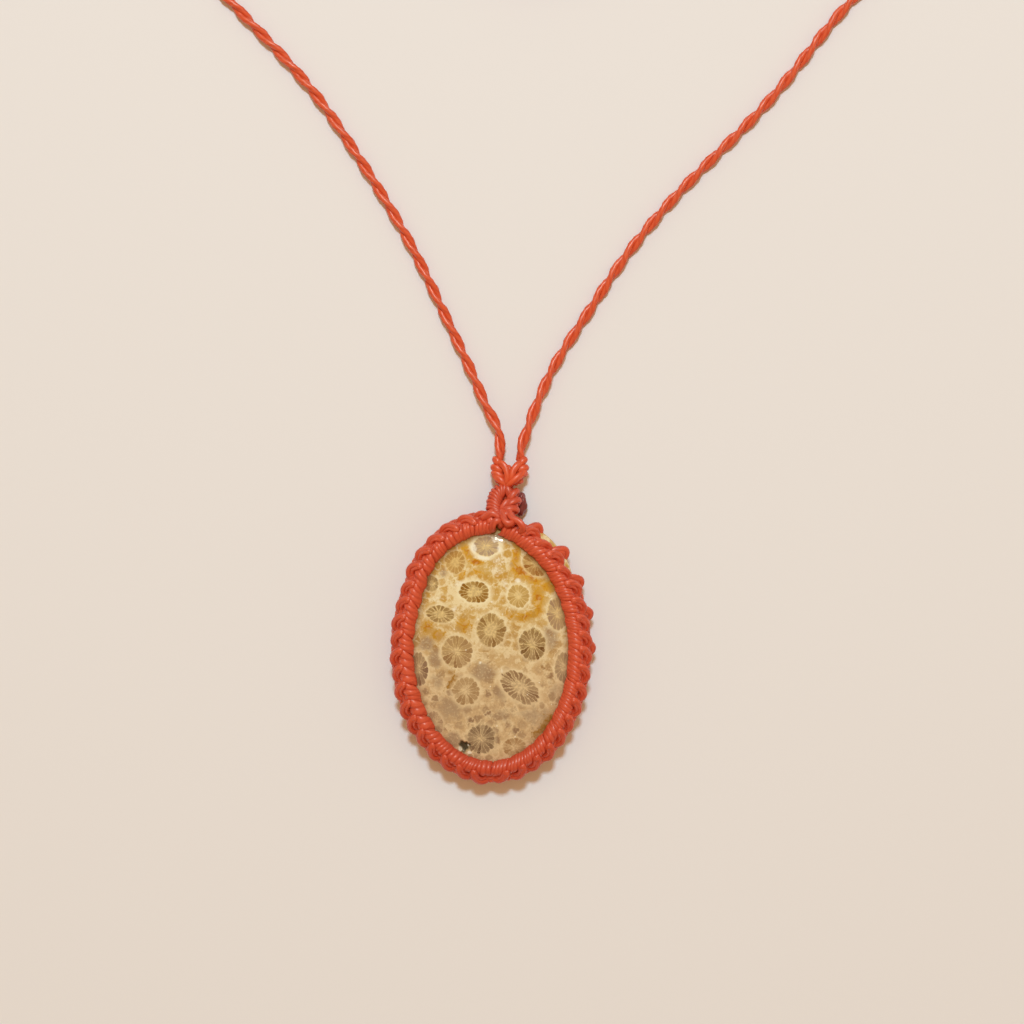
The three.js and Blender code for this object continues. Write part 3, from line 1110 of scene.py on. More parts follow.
@dataclass
class Bail:
    """The wrapped loop at the top of the setting, and the strands that tie it down."""

    shop: Workshop
    left: Limb = Limb(0.06, 0.46, 11, 0.94, 0.62, Strand(0.34, 0.34))
    right: Limb = Limb(0.57, 0.97, 5, 0.86, -0.6, Strand(0.54, 0.44))
    core_strand: Strand = Strand(0.85, 0.7)
    tie_strand: Strand = Strand(0.56, 0.48)
    # painted shade: tone of the bail's core under its turns and of the strand seen through its eye
    painted_shade_tone: float = 1.0
    tie_tones: tuple[float, float] = (0.5, 1.0)
    turn_tones: tuple[float, float] = (0.6, 1.2)
    size_spread: float = 0.03
    lean_spread: float = 0.06
    path_points: int = 81
    seed: int = 11

    def path(self) -> Array:
        """Lay the bail's core: up on the left, over the top and down on the right.

        Returns:
            Points of the core.
        """
        control = np.array(
            [
                [1.2, 19.7, 5.0], [0.6, 20.6, 4.4], [0.58, 22.0, 3.8],
                [1.1, 23.3, 3.4], [2.1, 23.75, 3.2], [3.1, 23.3, 3.4],
                [3.3, 22.0, 3.9], [2.85, 20.7, 4.8], [2.1, 19.8, 5.5],
            ]
        )
        return smooth_path(control, self.path_points)

    def ties(self, rng: np.random.Generator) -> Surface:
        """Make the strands that cross where the bail meets the front row.

        Args:
            rng: Source of the strands' tones.

        Returns:
            The strands.
        """
        curl = (
            [-1.4, 19.5, 5.2], [-0.7, 19.95, 5.8], [0.1, 20.35, 6.0],
            [0.8, 20.1, 6.0], [1.2, 19.6, 5.9], [1.1, 19.0, 5.0],
        )
        leaf = (
            [0.3, 17.75, 5.0], [0.2, 18.4, 6.3], [0.65, 19.15, 6.7],
            [1.25, 19.25, 6.5], [1.5, 18.7, 5.8], [1.5, 18.3, 5.0],
        )
        bend = (
            [1.5, 21.0, 5.2], [1.8, 20.2, 6.1], [2.0, 19.45, 6.7],
            [2.5, 18.95, 7.0], [3.2, 19.05, 6.7], [3.9, 19.8, 5.2],
        )
        hook = (
            [2.6, 21.3, 5.0], [2.75, 20.5, 5.9], [3.1, 19.75, 6.5],
            [4.2, 19.15, 6.9], [4.75, 18.3, 7.0], [4.3, 17.5, 6.0],
        )
        inner = (
            [1.45, 20.5, 4.6], [1.7, 21.0, 4.95], [1.98, 21.55, 4.95],
            [2.42, 22.05, 4.7], [2.95, 21.9, 4.4], [3.2, 21.3, 4.0],
        )
        across = (
            [0.4, 21.9, 2.7], [1.0, 22.4, 2.9], [1.6, 22.6, 3.0],
            [2.2, 22.6, 3.0], [2.8, 22.4, 2.9], [3.4, 21.9, 2.7],
        )
        control = np.array([curl, leaf, bend, hook, inner, across])
        tone = rng.uniform(*self.tie_tones, len(control))
        # the strand across the eye is drawn in painted shade
        tone[-1] = self.painted_shade_tone
        return level_strands(control, self.tie_strand, tone)

    def build(self) -> bpy.types.Object:
        """Make the bail as one piece: fine turns on the left limb, thicker ones on the right.

        Returns:
            The piece.
        """
        rng = np.random.default_rng(self.seed)
        path = self.path()
        parts = [self.ties(rng)]
        for limb in (self.left, self.right):
            share = np.linspace(limb.low, limb.high, limb.turns)
            size = limb.radius * rng.normal(1, self.size_spread, limb.turns)
            lean = limb.lean + rng.normal(0, self.lean_spread, limb.turns)
            tones = rng.uniform(*self.turn_tones, limb.turns)
            parts.append(wrapped(path, share, size, lean, limb.strand, tones))
        # the core under the turns is drawn in painted shade
        parts.append(level_core(path, self.core_strand, self.painted_shade_tone))
        made = self.shop.piece("bail_loop", Surface.joined(parts), self.shop.setting, "setting_cord")
        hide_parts("bail")
        return made


@dataclass
class MeltedEnd:
    """The lump of fused cord behind the bail, drawn in a darker cord colour that is partly its own and
    partly painted shade.
    """

    shop: Workshop
    centre: tuple[float, float, float] = (4.5, 21.8, 1.3)
    half: tuple[float, float, float] = (0.92, 1.8, 1.1)
    rings: int = 28
    sectors: int = 40
    wide_drip: float = 0.09
    fine_drip: float = 0.05

    def build(self) -> bpy.types.Object:
        """Make the lump: an ellipsoid with drips that swell as sines of its two angles.

        Returns:
            The piece.
        """
        fall = np.linspace(0, np.pi, self.rings + 1)
        turn = np.linspace(0, 2 * np.pi, self.sectors, endpoint=False)
        polar, around = np.meshgrid(fall, turn, indexing="ij")
        wide = self.wide_drip * np.sin(3 * around + 4 * polar)
        fine = self.fine_drip * np.sin(5 * around - 7 * polar)
        swell = 1 + np.sin(polar) * (wide + fine)
        level = np.sin(polar)
        ball = np.stack([level * np.cos(around), np.cos(polar), level * np.sin(around)], axis=-1)
        vertices = (ball * swell[..., None] * np.array(self.half) + np.array(self.centre)).reshape(-1, 3)
        quads = ring_quads(self.rings, self.sectors)[:, [0, 3, 2, 1]]
        surface = Surface(vertices, quads, np.zeros((len(quads), 4, 2)), np.zeros(len(vertices)))
        made = self.shop.piece("melted_cord_end", surface, self.shop.melted_and_shaded, "melted_cord")
        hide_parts("melted_end")
        return made


@dataclass
class Necklace:
    """The twisted neck cord: two strands, its knots at the bail and its put-away coil."""

    shop: Workshop
    diameter: float = 1.76
    twist: float = -8.5
    strand: Strand = Strand(0.5, 0.5, sides=10, ply_depth=0.2, ply_turn=2.7)
    rest_z: float = 0.9
    coil_x: float = 7.4
    coil_y: float = 113.65
    coil_outer: float = 11.0
    coil_pitch: float = 1.7
    coil_low: float = 1.12
    coil_layer: float = 1.6
    turns_per_layer: int = 3
    step: float = 0.45
    coil_steps: int = 24
    rise_turns: float = 0.6
    start_turn: float = 0.6
    knot_strand: Strand = Strand(0.56, 0.48)
    knot_core: Strand = Strand(0.66, 0.6)
    knot_points: int = 31
    knot_lean: float = 0.42
    knot_tone: float = 0.3
    tie_strand: Strand = Strand(0.42, 0.13, plies=1, ply_depth=0.0)
    tie_deg: tuple[float, ...] = (-112.0, -107.0, -102.0)
    tie_slack: float = 0.2
    tie_lift: float = 0.15
    tie_corner: float = 0.6
    tie_shoulder: float = 0.8
    tie_foot: float = 0.7
    tie_low: float = 0.14
    tie_steps: int = 12
    seed: int = 5

    def left_route(self) -> Array:
        """List the run from the left knot to the coil.

        Returns:
            Points of the route.
        """
        z = self.rest_z
        return np.array(
            [
                [1.35, 28.0, 2.5], [1.35, 30.5, 2.3], [0.85, 33.6, 2.0], [-0.45, 35.95, 1.75],
                [-1.5, 38.35, 1.5], [-2.45, 40.6, 1.3], [-6.8, 50.0, z], [-11.25, 59.3, z],
                [-17.1, 69.6, z], [-20.85, 75.5, z], [-26.9, 84.2, z], [-32.05, 90.15, z],
                [-37.15, 95.5, z], [-39.7, 98.2, z], [-42.6, 101.6, z], [-44.2, 105.8, z],
                [-43.6, 110.6, z], [-40.4, 115.2, z], [-34.8, 118.8, z], [-26.5, 121.6, z],
                [-16.5, 123.6, z], [-6.5, 124.5, 0.95], [0.8, 124.65, 1.06],
            ]
        )

    def right_route(self) -> Array:
        """List the run from the right knot to the coil.

        Returns:
            Points of the route.
        """
        z = self.rest_z
        return np.array(
            [
                [4.4, 28.0, 2.5], [4.6, 30.6, 2.3], [5.4, 32.9, 2.05], [6.0, 34.75, 1.85],
                [6.95, 37.1, 1.6], [8.45, 40.6, 1.3], [14.1, 50.0, z], [20.3, 59.3, z],
                [24.65, 64.8, z], [29.5, 70.15, z], [34.35, 75.0, z], [39.5, 80.15, z],
                [43.85, 85.0, z], [48.2, 90.45, z], [52.75, 96.1, z], [54.65, 98.2, z],
                [57.6, 101.7, z], [59.3, 105.8, z], [58.8, 110.4, z], [55.7, 114.8, z],
                [49.8, 118.6, z], [41.5, 121.6, z], [31.5, 123.6, 1.1], [21.5, 124.5, 1.9],
                [14.0, 124.65, 2.55],
            ]
        )

    def coil(self) -> Array:
        """Wind the coil: a flat spiral inwards on the surface and one outwards on top of it.

        The radius falls by one pitch per turn and then grows again, and the height rises by one
        layer in a smooth step at the innermost turn.

        Returns:
            Points of the coil, clockwise from its top.
        """
        layers = self.turns_per_layer
        turns = np.arange(0, 2 * layers * self.coil_steps + 1) / self.coil_steps
        inside = np.abs(turns - layers)
        radius = self.coil_outer - self.coil_pitch * (layers - inside)
        rise = np.clip((turns - layers) / self.rise_turns + 0.5, 0, 1)
        height = self.coil_low + self.coil_layer * rise**2 * (3 - 2 * rise)
        angle = 2 * np.pi * turns
        across = self.coil_x + radius * np.sin(angle)
        along = self.coil_y + radius * np.cos(angle)
        return np.stack([across, along, height], axis=1)

    def centreline(self) -> Array:
        """Lay the whole cord from the left knot through the coil to the right knot, at even steps."""
        runs = [self.left_route(), self.coil(), self.right_route()[::-1]]
        return spline_route(np.concatenate(runs), self.step)

    def cord(self, line: Array, rng: np.random.Generator) -> Surface:
        """Twist two strands round the centreline.

        Each strand runs at a constant distance from the centreline, turning with its length.

        Args:
            line: The centreline.
            rng: Source of the strands' tones.

        Returns:
            Both strands.
        """
        along = unit(np.gradient(line, axis=0))
        up = unit(UP - along * along[:, 2:])
        side = np.cross(along, up)
        phase = 2 * np.pi * np.arange(len(line)) * self.step / self.twist
        turn = phase[None] + np.array([[0.0], [np.pi]]) + self.start_turn
        away = up[None] * np.cos(turn)[..., None] + side[None] * np.sin(turn)[..., None]
        offset = self.diameter / 2 - self.strand.half_height
        return sweep(line[None] + away * offset, away, self.strand, rng.uniform(0, 0.25, 2))

    def knots(self, rng: np.random.Generator) -> Surface:
        """Make the two wrapped knots and the fold through the bail.

        Args:
            rng: Source of the strands' tones.

        Returns:
            The knots.
        """
        left = np.array([[1.15, 28.7, 2.6], [1.0, 27.3, 2.75], [1.2, 26.0, 2.85], [2.0, 24.7, 3.0]])
        right = np.array([[4.5, 28.7, 2.6], [4.6, 27.3, 2.75], [4.3, 26.0, 2.85], [3.3, 24.7, 3.0]])
        parts = []
        for control, lean in ((left, self.knot_lean), (right, -self.knot_lean)):
            path = smooth_path(control, self.knot_points)
            share = np.array([0.16, 0.4, 0.63, 0.84])
            radius = np.array([0.56, 0.68, 0.62, 0.5])
            leans = lean * np.array([1.0, 0.7, 1.1, 0.9])
            tones = rng.uniform(0, self.knot_tone, len(share))
            parts.append(wrapped(path, share, radius, leans, self.knot_strand, tones))
            parts.append(level_core(path, self.knot_core, self.knot_tone))
        fold = np.array(
            [
                [
                    [0.9, 28.1, 3.0], [1.7, 27.8, 3.6], [2.3, 26.9, 3.9],
                    [2.45, 25.8, 4.0], [2.2, 24.9, 3.6], [2.1, 24.2, 2.7],
                ],
                [
                    [4.7, 28.1, 3.0], [3.95, 27.6, 3.6], [3.35, 26.8, 3.9],
                    [3.1, 25.9, 4.0], [2.8, 25.0, 3.6], [2.5, 24.2, 2.7],
                ],
                [
                    [5.1, 26.9, 3.0], [4.6, 26.3, 3.7], [3.9, 25.7, 4.2],
                    [3.1, 25.1, 4.2], [2.4, 24.6, 3.6], [2.0, 24.1, 2.6],
                ],
                [
                    [0.4, 26.5, 2.8], [0.9, 25.8, 3.4], [1.5, 25.3, 3.7],
                    [2.0, 24.9, 3.6], [2.4, 24.5, 3.0], [2.5, 24.0, 2.4],
                ],
                [
                    [2.4, 27.5, 2.5], [2.7, 27.0, 2.9], [2.8, 26.3, 3.0],
                    [2.75, 25.6, 3.0], [2.7, 25.0, 2.8], [2.6, 24.3, 2.4],
                ],
                [
                    [3.4, 26.9, 2.4], [3.3, 25.8, 2.8], [2.9, 24.6, 2.5],
                    [2.4, 23.4, 2.1], [2.1, 22.2, 2.2], [1.9, 20.8, 2.9],
                ],
                [
                    [2.2, 26.9, 2.4], [2.2, 25.8, 2.8], [2.0, 24.6, 2.5],
                    [1.8, 23.4, 2.1], [1.7, 22.2, 2.2], [1.7, 20.8, 2.9],
                ],
            ]
        )
        tones = rng.uniform(0, self.knot_tone, len(fold))
        parts.append(level_strands(fold, self.knot_strand, tones))
        return Surface.joined(parts)

    def round_coil(self, ring: Array) -> Array:
        """Turn a flat ring of distances and heights to each bearing of the tie.

        Args:
            ring: Distances from the coil's middle and heights, shape (points, 2).

        Returns:
            Points about the coil's middle, shape (bearings, points, 3).
        """
        bearing = np.radians(np.array(self.tie_deg))
        direction = np.stack([np.cos(bearing), np.sin(bearing)], axis=1)
        level = direction[:, None] * ring[None, :, :1]
        height = np.broadcast_to(ring[None, :, 1:2], level.shape[:2] + (1,))
        return np.concatenate([level, height], axis=-1)

    def tie(self) -> Surface:
        """Make the flat thread that ties the coil, three turns round its bundle.

        Returns:
            The tie.
        """
        half = self.diameter / 2
        inner = self.coil_outer - self.coil_pitch * self.turns_per_layer - half - self.tie_slack
        outer = self.coil_outer + half + self.tie_slack
        top = self.coil_low + self.coil_layer + half + self.tie_lift
        section = np.array(
            [
                [outer, self.tie_corner],
                [outer, top - self.tie_corner],
                [outer - self.tie_shoulder, top],
                [inner + self.tie_shoulder, top],
                [inner, top - self.tie_corner],
                [inner, self.tie_corner],
                [inner + self.tie_foot, self.tie_low],
                [outer - self.tie_foot, self.tie_low],
            ]
        )
        closed = np.concatenate([section[-2:], section, section[:2]])
        flat = smooth_path(closed, self.tie_steps * (len(closed) - 1) + 1)
        ring = flat[2 * self.tie_steps : (2 + len(section)) * self.tie_steps]
        ring[:, 1] = np.maximum(ring[:, 1], self.tie_low)
        points = self.round_coil(ring) + np.array([self.coil_x, self.coil_y, 0.0])
        normals = self.round_coil(ring - np.array([(inner + outer) / 2, top / 2]))
        return sweep(points, normals, self.tie_strand, np.zeros(len(points)), closed=True)

    def build(self) -> bpy.types.Object:
        """Returns:
            The cord.
        """
        rng = np.random.default_rng(self.seed)
        line = self.centreline()
        cord = self.shop.piece("neck_cord", self.cord(line, rng), self.shop.necklace, "neck_cord")
        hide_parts("necklace_left", "necklace_right", "necklace_coil")
        knots = self.shop.piece("neck_cord_knots", self.knots(rng), self.shop.necklace, "neck_cord")
        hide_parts("necklace_knot")
        tie = self.shop.piece("coil_tie", self.tie(), self.shop.necklace, "neck_cord")
        return cord


@dataclass(frozen=True)
class Corallite:
    """One cut coral cup.

    Its place, half axes and turn, the number of septa, the colour and contrast of its filling, the
    strength of its wall, where the filling starts and half the thickness of a septum in half axes.
    """

    x: float
    y: float
    half_x: float
    half_y: float
    turn_deg: float
    septa: float
    fill: tuple[int, int, int]
    contrast: float
    wall: float
    core: float
    septum: float


@dataclass(frozen=True)
class Patch:
    """A soft patch of colour on the stone."""

    x: float
    y: float
    half_x: float
    half_y: float
    turn_deg: float
    weight: float


CORALLITES = (
    Corallite(-0.75, 15.45, 2.0, 1.5, 0, 17, (160, 132, 112), 1.0, 1.3, 0.02, 0.006),
    Corallite(-5.3, 13.1, 1.6, 1.7, 0, 13, (158, 102, 26), 0.9, 0.5, 0.2, 0.025),
    Corallite(-2.45, 8.7, 2.24, 1.62, -4, 17, (134, 84, 8), 1.0, 1.1, 0.32, 0.02),
    Corallite(-7.55, 5.37, 2.1, 1.3, -8, 15, (128, 90, 44), 0.9, 0.6, 0.25, 0.045),
    Corallite(0.0, 3.0, 2.18, 2.5, 0, 19, (134, 94, 46), 1.0, 0.7, 0.26, 0.014),
    Corallite(6.2, 0.9, 1.95, 2.5, 8, 17, (104, 62, 20), 1.0, 0.7, 0.0, 0.016),
    Corallite(-5.1, -0.2, 2.3, 2.46, 0, 18, (146, 106, 64), 1.0, 0.8, 0.02, 0.005),
    Corallite(4.3, -5.45, 3.25, 1.95, -38, 22, (124, 88, 58), 1.0, 0.9, 0.2, 0.019),
    Corallite(-3.7, -6.07, 2.0, 2.1, 0, 15, (144, 104, 60), 0.85, 0.8, 0.15, 0.008),
    Corallite(-1.46, -13.2, 2.1, 2.3, 0, 18, (102, 72, 50), 1.0, 0.5, -0.05, 0.003),
    Corallite(3.5, -14.5, 1.8, 1.5, 0, 13, (142, 96, 48), 0.9, 0.5, 0.1, 0.008),
    Corallite(4.1, 8.1, 1.6, 1.75, 15, 15, (178, 138, 70), 0.9, 1.0, 0.15, 0.015),
    Corallite(10.0, 5.5, 1.6, 2.5, 0, 16, (156, 122, 92), 1.0, 0.7, 0.1, 0.006),
    Corallite(6.7, 12.8, 2.2, 1.7, -35, 15, (146, 86, 28), 1.0, 0.6, 0.05, 0.008),
    Corallite(10.9, -2.6, 1.4, 2.2, 0, 15, (148, 118, 88), 1.0, 0.8, 0.1, 0.008),
    Corallite(-10.8, -2.9, 1.4, 2.5, 0, 14, (122, 88, 66), 1.0, 0.8, 0.02, 0.006),
    Corallite(-8.85, 9.9, 1.1, 1.2, 20, 11, (132, 98, 60), 0.85, 0.5, 0.2, 0.02),
    Corallite(-8.3, -10.9, 1.2, 1.8, 10, 13, (144, 108, 80), 0.9, 0.6, 0.1, 0.008),
)
IRON = (
    Patch(3.8, 14.2, 0.5, 1.2, -15, 0.95),
    Patch(4.4, 11.8, 1.3, 0.8, -35, 1.1),
    Patch(6.3, 10.6, 1.1, 0.6, -30, 1.0),
    Patch(8.6, 9.5, 0.9, 0.7, 0, 0.85),
    Patch(7.0, 8.0, 0.7, 1.2, 10, 0.95),
    Patch(7.1, 6.0, 0.5, 1.0, 0, 0.85),
    Patch(5.0, 5.0, 1.4, 0.5, 10, 0.95),
    Patch(2.9, 5.2, 0.7, 0.5, -10, 0.7),
    Patch(-9.4, 3.4, 0.9, 0.9, 0, 0.85),
    Patch(-7.9, 2.3, 1.1, 0.7, -20, 0.8),
    Patch(-4.0, 3.6, 1.0, 1.0, 30, 0.7),
    Patch(-2.2, 13.15, 0.9, 0.35, -10, 1.25),
    Patch(-2.0, 11.7, 1.4, 0.6, 0, 0.5),
    Patch(-3.6, 14.6, 0.7, 1.2, 30, 0.8),
    Patch(-5.6, 13.6, 1.2, 1.2, 0, 0.6),
    Patch(-4.3, 11.4, 0.5, 0.5, 0, 0.7),
    Patch(8.6, -11.0, 0.7, 1.6, -38, 0.9),
    Patch(6.9, -12.6, 0.8, 0.7, 0, 0.6),
    Patch(-5.7, -4.6, 0.45, 1.1, -35, 0.9),
    Patch(-5.9, -3.2, 0.5, 0.4, 0, 0.6),
)
GREY = (
    Patch(-1.2, -3.2, 1.9, 1.4, 0, 0.9),
    Patch(-9.6, 1.0, 1.2, 1.2, 0, 0.8),
    Patch(-8.2, -1.2, 1.2, 1.6, 0, 0.8),
    Patch(-8.0, -4.6, 1.2, 1.6, 0, 0.6),
    Patch(-6.0, -8.5, 3.0, 2.2, 20, 0.7),
    Patch(6.5, -9.8, 2.8, 1.8, 0, 0.6),
    Patch(-5.6, -13.4, 1.2, 1.1, 0, 1.0),
    Patch(8.9, 2.0, 1.3, 2.0, 0, 0.8),
    Patch(1.3, -6.4, 1.2, 1.6, 0, 0.6),
    Patch(1.5, -9.8, 2.4, 1.4, 0, 0.5),
    Patch(9.4, -6.2, 1.4, 2.0, 0, 0.5),
    Patch(3.2, 12.8, 0.6, 0.5, 0, 0.6),
    Patch(-7.2, 11.6, 0.8, 1.0, 20, 0.6),
)
PALE = (
    Patch(-2.6, 15.2, 0.5, 0.9, 10, 0.9),
    Patch(-1.2, 13.75, 1.5, 0.35, -8, 0.85),
    Patch(1.3, 15.0, 0.5, 0.8, 20, 0.8),
    Patch(0.9, 16.6, 0.8, 0.5, 0, 1.0),
    Patch(1.3, 13.4, 1.8, 1.1, 0, 0.6),
    Patch(0.9, 11.9, 1.6, 1.0, 0, 0.6),
    Patch(2.1, 9.9, 0.7, 1.5, 20, 0.6),
    Patch(4.0, 10.4, 0.5, 0.35, 0, 1.0),
    Patch(-4.9, 9.9, 1.2, 0.7, 20, 0.6),
    Patch(-2.4, 6.2, 2.2, 0.5, 0, 0.5),
    Patch(-1.55, -1.8, 0.24, 0.24, 0, 1.0),
    Patch(1.5, -3.0, 0.6, 1.0, 0, 0.55),
    Patch(-8.0, 7.6, 1.8, 0.9, 0, 0.5),
    Patch(-5.4, 6.2, 0.5, 0.4, 0, 0.8),
    Patch(0.15, 7.3, 0.2, 0.16, 0, 1.0),
)
# White crystals at the pit's rim and at the top edge of the stone: partly their own white, partly a painted
# highlight where the lamp's glint falls.
CRYSTALS_AND_SPARKLES = (
    Patch(-4.58, -14.78, 0.3, 0.3, 0, 1.2),
    Patch(-3.2, -15.3, 0.34, 0.24, 0, 1.2),
    Patch(-3.4, -14.25, 0.14, 0.14, 0, 1.2),
    Patch(1.05, 16.85, 0.5, 0.3, 0, 1.2),
    Patch(0.45, 16.3, 0.2, 0.4, 20, 0.9),
    Patch(1.5, 16.3, 0.2, 0.35, -20, 0.9),
)


def patch_field(patches: tuple[Patch, ...], x: Array, y: Array) -> Array:
    """Add up soft patches: each is its weight times a bell over its turned oval, the largest counts.

    Args:
        patches: The patches.
        x: Places across, in millimetres.
        y: Places along.

    Returns:
        The strength at each place.
    """
    total = np.zeros_like(x)
    for patch in patches:
        turn = math.radians(patch.turn_deg)
        dx, dy = x - patch.x, y - patch.y
        u = (dx * math.cos(turn) + dy * math.sin(turn)) / patch.half_x
        v = (dy * math.cos(turn) - dx * math.sin(turn)) / patch.half_y
        total = np.maximum(total, patch.weight * np.exp(-0.7 * (u * u + v * v)))
    return total


@dataclass(frozen=True)
class StoneFinish:
    """Polished fossil coral: the colours of its ground and fillings, painted shadow along the ring and
    painted shade in the pit, and its gloss.
    """

    name: str = "polished_fossil_coral"
    upper_ground: Colour = linear(206, 166, 90)
    lower_ground: Colour = linear(200, 165, 118)
    upper_blob: Colour = linear(194, 142, 52)
    lower_blob: Colour = linear(146, 112, 80)
    upper_wall: Colour = linear(240, 222, 176)
    lower_wall: Colour = linear(226, 197, 150)
    upper_septum: Colour = linear(231, 196, 118)
    lower_septum: Colour = linear(224, 192, 142)
    iron: Colour = linear(206, 150, 38)
    rust: Colour = linear(186, 110, 4)
    umber: Colour = linear(152, 106, 38)
    grey: Colour = linear(160, 130, 98)
    pale: Colour = linear(246, 236, 210)
    # colour of the painted shade in the pit's hollow
    pit_shade: Colour = linear(74, 62, 40)
    # colour of the painted shadow of the ring on the stone
    shade: Colour = linear(118, 70, 30)
    roughness: float = 0.08
    wave_scale: float = 0.9
    shake_scale: float = 3.2
    cloud_scale: float = 0.8
    grain_scale: float = 3.0
    sway_scale: float = 1.6
    sway_reach: float = 0.9
    spot_scale: float = 0.75
    dot_scale: float = 1.1
    depth_scale: float = 0.45
    lace_share: float = 0.75
    grey_share: float = 0.8
    speck_share: float = 0.6
    shadow_share: float = 0.55
    wall_share: float = 0.95
    cup_share: float = 0.8
    pale_share: float = 0.75
    dot_share: float = 0.7

    def wedges(self, graph: Graph, given: Sockets) -> tuple[Socket, ...]:
        """Draw the wedges between the septa of the cups.

        In each cup the angle times the number of septa gives wedges. A wedge is filled where it is
        farther than half a septum from its edges and lies between the cup's core and a reach that
        falls off with the fourth power of the distance from the wedge's middle.

        Args:
            graph: The graph.
            given: The group's inputs.

        Returns:
            Distance from the cup's centre in half axes, how filled a place is, and the wedge's tone.
        """
        septa, _, _ = graph.split(given["Look"])
        span, core, septum = graph.split(given["Shape"])
        wave = graph.drift(given["Place"], self.wave_scale, 2.0)
        shake = graph.drift(given["Place"], self.shake_scale, 1.0)
        cup = graph.vector("ADD", given["Cup"], graph.vector("MULTIPLY", wave, (0.2, 0.2, 0.0)))
        cup = graph.vector("ADD", cup, graph.vector("MULTIPLY", shake, (0.04, 0.04, 0.0)))
        x, y, seed = graph.split(cup)
        wobble, jitter, bend = graph.split(graph.vector("ADD", wave, graph.scaled(shake, 0.12)))
        radius = graph.plus(span, graph.times(graph.plus(wobble, jitter), 0.2))
        angle = graph.line(bend, 0.35, graph.math("ARCTAN2", y, x))
        spoke = graph.plus(graph.times(angle, graph.math("DIVIDE", septa, 2 * math.pi)), seed)
        across = graph.math("ABSOLUTE", graph.minus(graph.math("FRACT", spoke), 0.5))
        chance = graph.node("ShaderNodeTexWhiteNoise", noise_dimensions="2D")
        graph.feed(chance.inputs["Vector"], graph.merged(graph.math("FLOOR", spoke), seed, 0.0))
        first, second, third = graph.split(chance.outputs["Color"])
        width = graph.times(radius, graph.math("DIVIDE", 2 * math.pi, septa))
        edge = graph.times(graph.minus(0.5, across), width)
        thin = graph.times(septum, graph.line(first, 0.9, 0.1))
        between = graph.ramp(edge, thin, graph.plus(thin, 0.02))
        rounding = graph.times(graph.math("POWER", across, 4.0), 2.6)
        reach = graph.minus(graph.line(second, 0.15, 0.9), rounding)
        within = graph.ramp(radius, graph.plus(reach, 0.04), graph.minus(reach, 0.04))
        start = graph.plus(core, graph.times(third, 0.26))
        inside = graph.ramp(radius, start, graph.plus(start, 0.14))
        filled = graph.times(between, graph.times(inside, within))
        shown = graph.line(graph.ramp(second, 0.06, 0.4), 0.45, 0.55)
        return radius, graph.times(filled, shown), third

    def ground(self, graph: Graph, given: Sockets) -> tuple[Socket, ...]:
        """Draw the ground: soft rounded spots in a paler matrix, greyer and darker lower down.

        Args:
            graph: The graph.
            given: The group's inputs.

        Returns:
            The colour, a coarse and a fine noise, the net between the spots, and how low a place counts.
        """
        place = given["Place"]
        _, grey, _ = graph.split(given["Field"])
        cloud = graph.noise(place, self.cloud_scale, 4.0, 0.6).outputs[0]
        grain = graph.noise(place, self.grain_scale, 4.0, 0.65).outputs[0]
        _, along, _ = graph.split(place)
        drifted = graph.line(cloud, 12.0, graph.minus(along, 6.0))
        low = graph.ramp(drifted, 10.0, -8.0)
        matrix = graph.mix(low, self.upper_ground, self.lower_ground)
        spot = graph.mix(low, self.upper_blob, self.lower_blob)
        sway = graph.drift(place, self.sway_scale, 2.0)
        swayed = graph.vector("ADD", place, graph.scaled(sway, self.sway_reach))
        rims = graph.cells(swayed, self.spot_scale, "DISTANCE_TO_EDGE").outputs["Distance"]
        cells = graph.cells(swayed, self.spot_scale)
        lot, other, third = graph.split(cells.outputs["Color"])
        blob = graph.ramp(cells.outputs["Distance"], 0.62, 0.34)
        round_spot = graph.times(blob, graph.ramp(rims, 0.0, 0.12))
        spotted = graph.times(round_spot, graph.ramp(lot, 0.05, 0.7))
        spot = graph.mix(graph.times(other, 0.55), spot, matrix)
        wall = graph.mix(low, self.upper_wall, self.lower_wall)
        lace = graph.ramp(graph.plus(cloud, graph.times(third, 0.25)), 0.52, 0.7, self.lace_share)
        colour = graph.mix(spotted, graph.mix(lace, matrix, wall), spot)
        greyed = graph.ramp(graph.plus(grey, graph.line(cloud, 0.8, -0.4)), 0.25, 0.7)
        colour = graph.mix(graph.times(greyed, self.grey_share), colour, self.grey)
        speck = graph.ramp(grain, 0.52, 0.7, self.speck_share)
        colour = graph.mix(speck, colour, wall)
        shadow = graph.ramp(grain, 0.48, 0.3, self.shadow_share)
        net = graph.ramp(rims, 0.2, 0.02)
        return graph.mix(shadow, colour, spot), cloud, grain, net, low

